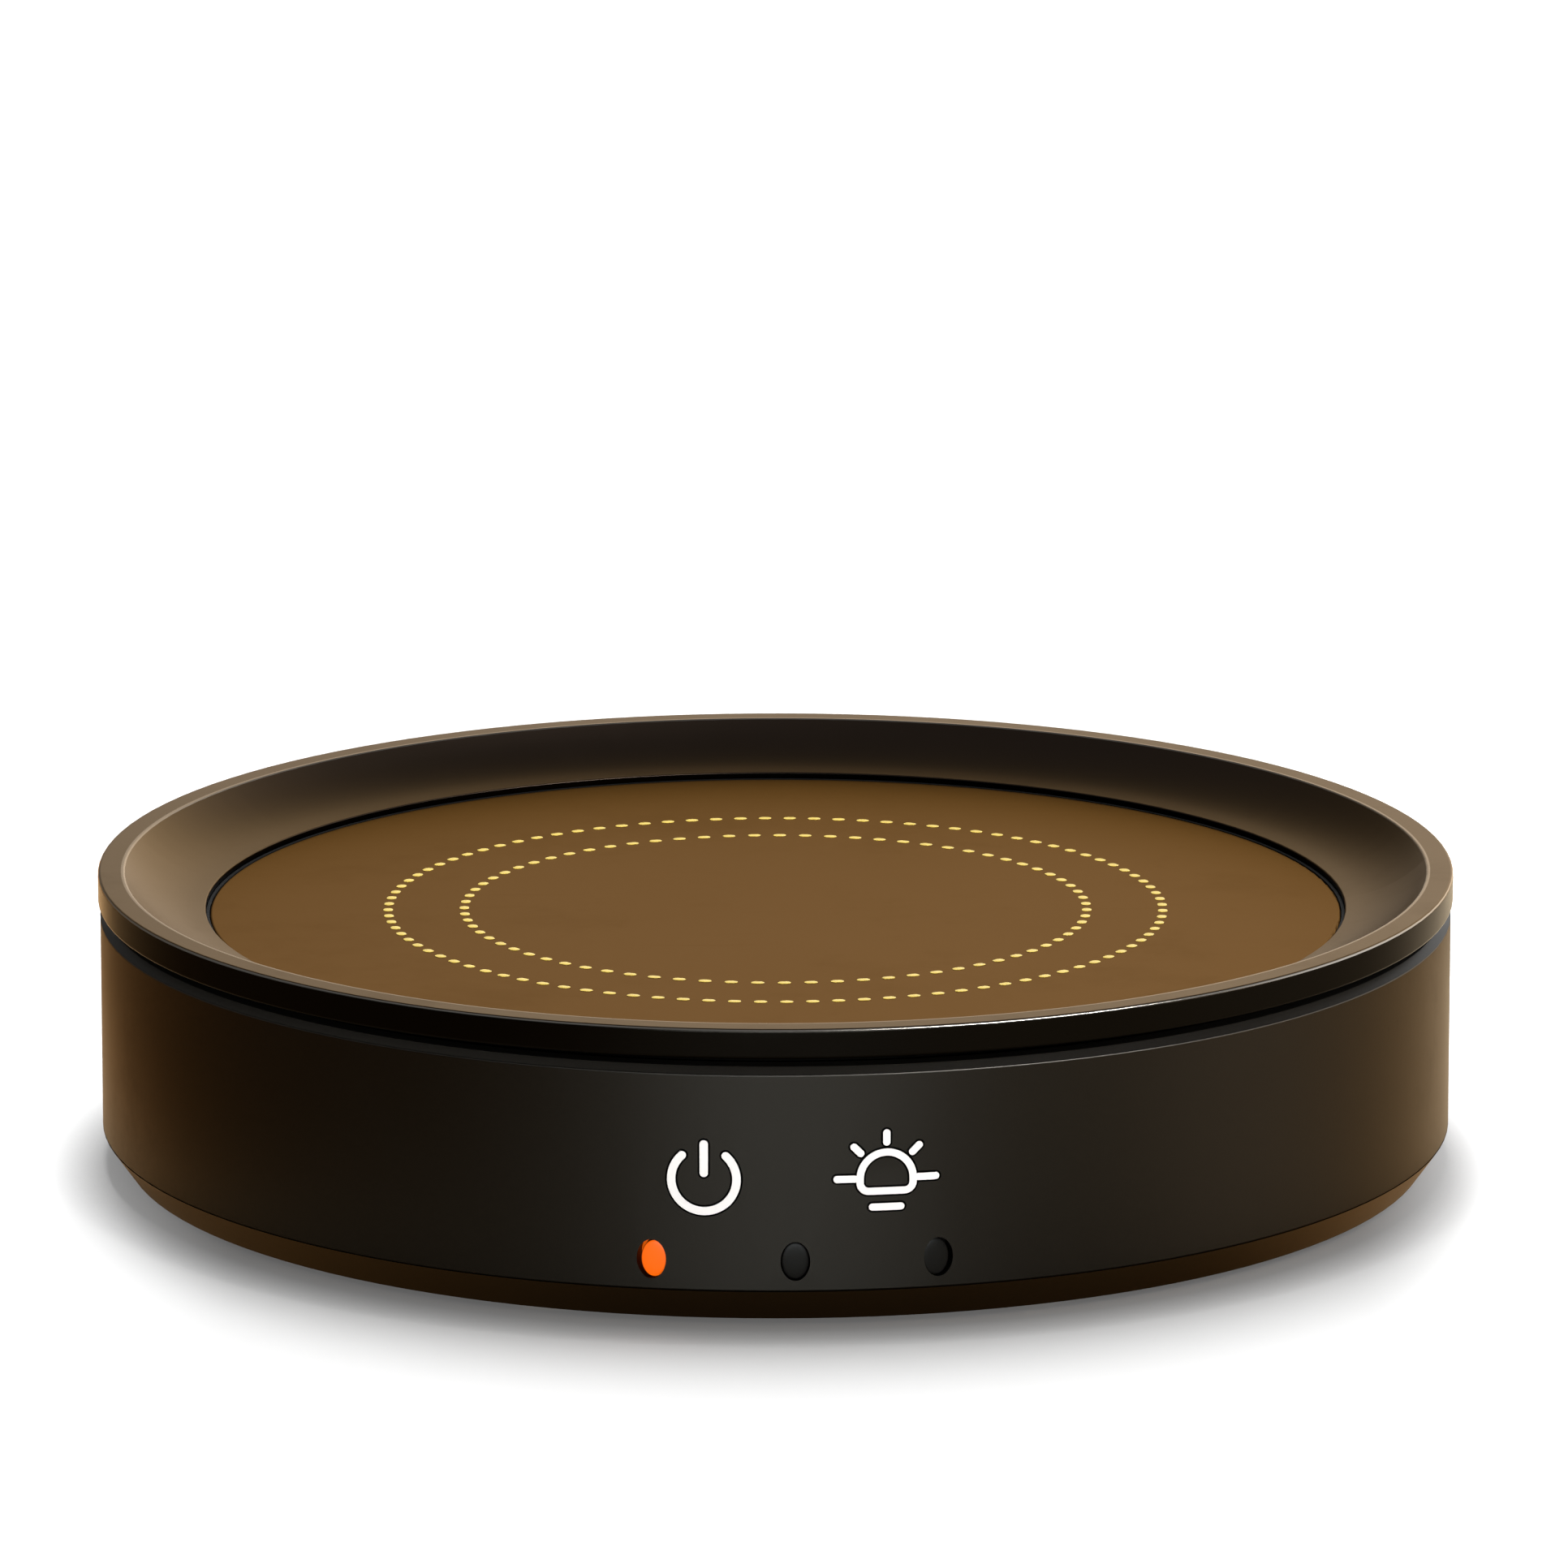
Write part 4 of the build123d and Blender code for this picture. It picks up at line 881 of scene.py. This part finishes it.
class WARMER_OT_springs(bpy.types.Operator):
    """Wind the four springs, with closed ends"""

    bl_idname = "warmer.springs"
    bl_label = "Springs"

    def execute(self, context):
        wire, turns = context.scene.warmer_sizes.spring_wire, context.scene.warmer_sizes.spring_turns
        low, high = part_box("platform_springs")
        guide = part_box("guide_bushes")[1]
        bush_radius = 3.6 * MM
        centre = guide.x - bush_radius
        radius = high.x - centre - wire
        shape = bmesh.new()
        for corner in corners(centre):
            tube(shape, self.coil(Vector((*corner, low.z)), high.z - low.z, radius, wire, turns), wire)
        piece = finish_piece("platform_coils", shape, "base", "spring")
        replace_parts(piece, "platform_springs")
        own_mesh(piece)
        return {"FINISHED"}

    def coil(self, seat, height, radius, wire, turns):
        """The middle line of one spring: a closed turn at each end and an even pitch between."""
        steps_per_turn = 28
        closed = 2 * wire
        free = (height - 2 * wire - 2 * closed) / (turns - 2)
        points = []
        for step in range(round(turns * steps_per_turn) + 1):
            turn = step / steps_per_turn
            rise = closed * min(turn, 1.0) + free * min(max(turn - 1.0, 0.0), turns - 2)
            rise += closed * max(turn - (turns - 1.0), 0.0)
            x, y = radius * math.cos(math.tau * turn), radius * math.sin(math.tau * turn)
            points.append(seat + Vector((x, y, wire + rise)))
        return points


class WARMER_OT_boards(bpy.types.Operator):
    """Finish the three circuit boards and what is soldered to them"""

    bl_idname = "warmer.boards"
    bl_label = "Circuit Boards"

    def execute(self, context):
        dress(control_board="board", front_board="board", ring_board="board", wire_headers="nylon")
        dress(ring_lamps="lamp", indicator_lamps="lamp", touch_pads="silicone", capacitor="aluminium")
        dress(control_chip="package", heater_transistor="package")
        return {"FINISHED"}


class WARMER_OT_wiring(bpy.types.Operator):
    """Finish the wires, and copy those that reach the platform"""

    bl_idname = "warmer.wiring"
    bl_label = "Wiring"

    def execute(self, context):
        dress(front_leads="grey_wire", ring_leads="grey_wire", power_leads="red_wire")
        for node, name, slot, key in (
            ("heater_leads", "heater_wires", "wire_red", "red_wire"),
            ("sensor_leads", "sensor_wires", "wire_grey", "grey_wire"),
        ):
            piece = bpy.data.objects.new(name, NODES[node].data.copy())
            context.scene.collection.objects.link(piece)
            piece.data.materials.clear()
            piece.data.materials.append(finish(key))
            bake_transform(piece)
            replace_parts(piece, node)
        return {"FINISHED"}


class WARMER_OT_heater_stack(bpy.types.Operator):
    """Finish the layers under the plate: spreader, heater, felt, retainer and sensors"""

    bl_idname = "warmer.heater_stack"
    bl_label = "Heater Stack"

    def execute(self, context):
        dress(heat_spreader="aluminium", heater="mica", insulation="felt", retainer="aluminium")
        dress(thermistor="package", thermal_cutout="aluminium", heater_terminals="brass")
        return {"FINISHED"}


class WARMER_OT_socket_and_switch(bpy.types.Operator):
    """Finish the power socket at the rear and the weight switch under the middle"""

    bl_idname = "warmer.socket_and_switch"
    bl_label = "Socket and Switch"

    def execute(self, context):
        dress(power_socket="socket", socket_pin="nickel", socket_tabs="brass")
        dress(switch_body="package", switch_plunger="acetal")
        return {"FINISHED"}


# ================= Stage =================


class WARMER_OT_stage(bpy.types.Operator):
    """Set up the floor, the soft lights and the camera"""

    bl_idname = "warmer.stage"
    bl_label = "Stage"

    def execute(self, context):
        scene = context.scene
        scene.view_settings.view_transform = "Standard"
        self.make_floor(scene)
        self.make_surround(scene)
        self.make_lights(scene)
        self.make_camera(scene)
        return {"FINISHED"}

    def make_floor(self, scene):
        """A wide plain floor, with a little light of its own where it is seen, so that it reads as white. It
        carries a painted contact shadow, a painted pool of light on its right, and a painted reflection that
        only reflections show.
        """
        floor_size, contact_reach, painted_contact_shadow = 6.0, 7 * MM, 0.46
        stage = scene.warmer_stage
        shape = bmesh.new()
        bmesh.ops.create_grid(shape, x_segments=8, y_segments=8, size=floor_size)
        mesh = bpy.data.meshes.new("floor")
        shape.to_mesh(mesh)
        shape.free()
        floor = bpy.data.objects.new("floor", mesh)
        scene.collection.objects.link(floor)
        material, tree, shader = new_finish("Floor Paper", {"Roughness": 0.9, "Specular IOR Level": 0.0})
        place = place_on(tree)
        grain = remap(tree, noise(tree, place, 900.0), 0.3, 0.7, 0.99, 1.0)
        # Painted shadow: the paper is darkened where ambient occlusion finds the warmer close by, deepening
        # its contact shadow.
        contact = add(tree, "ShaderNodeAmbientOcclusion", {"Distance": contact_reach}, samples=16)
        level = times(tree, grain, remap(tree, contact.outputs["AO"], 0.5, 1.0, painted_contact_shadow, 1.0))
        paper = scaled(tree, scene.warmer_colours.floor, level)
        across, along = part_of(tree, place, "X"), part_of(tree, place, "Y")
        # The floor's own light, a painted pool of light: on the right, a touch on the left, and all round
        # where it is far away.
        floor_light_pool = fade(tree, across, 52 * MM, 84 * MM, stage.floor_glow, stage.right_glow)
        floor_light_pool = plus(tree, floor_light_pool, fade(tree, across, -66 * MM, -50 * MM, 0.12, 0.0))
        floor_light_pool = larger(tree, floor_light_pool, fade(tree, span(tree, place), 150 * MM, 500 * MM))
        painted_reflection_tint, painted_reflection_glow = self.painted_reflection_floor(tree, stage, across, along)
        path = add(tree, "ShaderNodeLightPath").outputs
        direct, glossy, clear = (path[f"Is {kind} Ray"] for kind in ("Camera", "Glossy", "Transmission"))
        # Painted reflection: glossy rays see the floor tinted, shaded and glowing, unlike what the camera
        # sees.
        painted_reflection_paper = blend_colours(tree, 1.0, paper, painted_reflection_tint, "MULTIPLY")
        base = blend_colours(tree, glossy, paper, painted_reflection_paper)
        glow = blend_colours(tree, glossy, floor_light_pool, painted_reflection_glow)
        seen = larger(tree, direct, larger(tree, glossy, clear))
        feed(tree, shader, {"Base Color": base, "Emission Color": glow, "Emission Strength": seen})
        mesh.materials.append(material)

    def painted_reflection_floor(self, tree, stage, across, along):
        """A painted reflection: the floor's tint and glow as only reflections show them, warm, and fading
        towards the front left.
        """
        to_right = fade(tree, across, -90 * MM, -60 * MM)
        tint = blend_colours(tree, to_right, opaque(stage.left_mirrored), opaque(stage.right_mirrored))
        shade = fade(tree, across, -105 * MM, -55 * MM, 0.5, 1.0)
        right = fade(tree, across, 35 * MM, 80 * MM, stage.floor_glow, 0.95 * stage.right_glow)
        right = times(tree, right, fade(tree, along, 50 * MM, 95 * MM, 1.0, 0.25))
        slanted = plus(tree, across, times(tree, along, 0.2))
        left = fade(tree, slanted, -100 * MM, -70 * MM, 0.0, stage.left_glow)
        left = times(tree, left, fade(tree, across, -74 * MM, -60 * MM, 1.0, 0.25))
        left = times(tree, left, fade(tree, across, -60 * MM, 0.0, 1.0, 0.0))
        glow = blend_colours(tree, 1.0, tint, plus(tree, left, right), "MULTIPLY")
        return blend_colours(tree, 1.0, tint, shade, "MULTIPLY"), glow

    def make_surround(self, scene):
        """A surround that is white where it is seen, and lights the warmer from the rear and the right."""
        stage = scene.warmer_stage
        scene.world = bpy.data.worlds.new("Surround")
        scene.world.use_nodes = True
        tree = scene.world.node_tree
        background = tree.nodes["Background"]
        background.inputs["Color"].default_value = opaque((1, 1, 1))
        way = place_on(tree, "Generated")
        side = fade(tree, part_of(tree, way, "X"), -0.4, 0.35, stage.left_light, stage.right_light)
        rear = fade(tree, part_of(tree, way, "Y"), -0.35, 0.35, 0.12, 1.0)
        low = fade(tree, part_of(tree, way, "Z"), 0.35, 0.75, 1.0, 0.0)
        overhead = remap(tree, low, 0.0, 1.0, stage.overhead_light, 0.0)
        level = plus(tree, times(tree, times(tree, side, rear), low), overhead)
        path = add(tree, "ShaderNodeLightPath").outputs
        plain = larger(tree, path["Is Camera Ray"], path["Is Transmission Ray"])
        strength = add(tree, "ShaderNodeMix", {0: plain, 2: level, 3: 1.0}, data_type="FLOAT")
        feed(tree, background, {"Strength": strength.outputs[0]})

    def make_lights(self, scene):
        """A soft key overhead, a small lamp for the rim's edge and low strips in front and on the right."""
        stage = scene.warmer_stage
        key = self.soft_box(scene, "Key", around(186, 0.375, 0.927), 0.30, 0.75, stage.key_light)
        rim = self.soft_box(scene, "Rim Lamp", around(46, 0.75, 0.75), 0.70, 0.08, stage.rim_light)
        front = self.soft_box(scene, "Front Strip", around(0, 1.0, 0.04), 0.68, 0.06, stage.front_light)
        fill = self.soft_box(scene, "Front Fill", around(0, 1.0, 0.10), 0.68, 0.06, stage.fill_light)
        side = self.soft_box(scene, "Side Strip", around(78, 1.0, 0.04), 0.45, 0.06, stage.side_light)
        key.visible_glossy = fill.visible_glossy = False
        rim.visible_diffuse = front.visible_diffuse = False
        front.data.color = (0.90, 0.98, 1.0)
        side.data.color = (1.0, 0.80, 0.60)

    def soft_box(self, scene, name, place, width, height, radiance):
        """A lamp turned to the warmer. Its brightness is that of a white surface times a number."""
        box = bpy.data.lights.new(name, "AREA")
        box.shape = "RECTANGLE"
        box.size, box.size_y = width, height
        box.energy = radiance * math.pi * width * height
        lamp = bpy.data.objects.new(name, box)
        lamp.location = place
        lamp.rotation_mode = "QUATERNION"
        lamp.rotation_quaternion = place.to_track_quat("Z", "Y")
        lamp.visible_camera = False
        scene.collection.objects.link(lamp)
        return lamp

    def make_camera(self, scene):
        """A long lens, low in front. The warmer stands in the lower part of the frame."""
        stage = scene.warmer_stage
        turn, rise = stage.camera_azimuth, stage.camera_elevation
        back = Vector((math.sin(turn) * math.cos(rise), -math.cos(turn) * math.cos(rise), math.sin(rise)))
        right = Vector((math.cos(turn), math.sin(turn), 0.0))
        seat = Vector((0.0, 0.0, bottom_of("base_cover")))
        above_base, beside_base = 34.75 * MM, 0.82 * MM
        aim_point = seat + back.cross(right) * above_base + right * beside_base
        camera = bpy.data.objects.new("Camera", bpy.data.cameras.new("Camera"))
        camera.data.lens = stage.camera_lens
        camera.data.sensor_width = 36.0
        camera.data.clip_start, camera.data.clip_end = 0.01, 50.0
        camera.location = seat + back * stage.camera_distance
        camera.rotation_mode = "QUATERNION"
        camera.rotation_quaternion = (aim_point - camera.location).to_track_quat("-Z", "Y")
        scene.collection.objects.link(camera)
        scene.camera = camera


# ================= Panel and registration =================


class WARMER_PT_dressing(bpy.types.Panel):
    """Lists the pieces of the mug warmer and their settings"""

    bl_idname = "WARMER_PT_dressing"
    bl_label = "Mug Warmer"
    bl_space_type = "VIEW_3D"
    bl_region_type = "UI"
    bl_category = "Mug Warmer"

    def draw(self, context):
        column = self.layout.column(align=True)
        for operator in OPERATORS:
            column.operator(operator.bl_idname)
        for group, settings in SETTINGS.items():
            box = self.layout.box()
            for name in settings.__annotations__:
                box.prop(getattr(context.scene, group), name)


OPERATORS = (
    WARMER_OT_shells,
    WARMER_OT_platform,
    WARMER_OT_printed_rings,
    WARMER_OT_signs,
    WARMER_OT_windows,
    WARMER_OT_feet,
    WARMER_OT_fasteners,
    WARMER_OT_springs,
    WARMER_OT_boards,
    WARMER_OT_wiring,
    WARMER_OT_heater_stack,
    WARMER_OT_socket_and_switch,
    WARMER_OT_stage,
)
SETTINGS = {"warmer_colours": WarmerColours, "warmer_sizes": WarmerSizes, "warmer_stage": WarmerStage}
CLASSES = (*SETTINGS.values(), *OPERATORS, WARMER_PT_dressing)


def register():
    for made in CLASSES:
        bpy.utils.register_class(made)
    for name, settings in SETTINGS.items():
        setattr(bpy.types.Scene, name, bpy.props.PointerProperty(type=settings))


def unregister():
    for name in SETTINGS:
        delattr(bpy.types.Scene, name)
    for made in reversed(CLASSES):
        bpy.utils.unregister_class(made)


def main():
    """Builds everything in order."""
    register()
    for operator in OPERATORS:
        getattr(bpy.ops.warmer, operator.bl_idname.split(".")[1])()


if __name__ == "__main__":
    main()
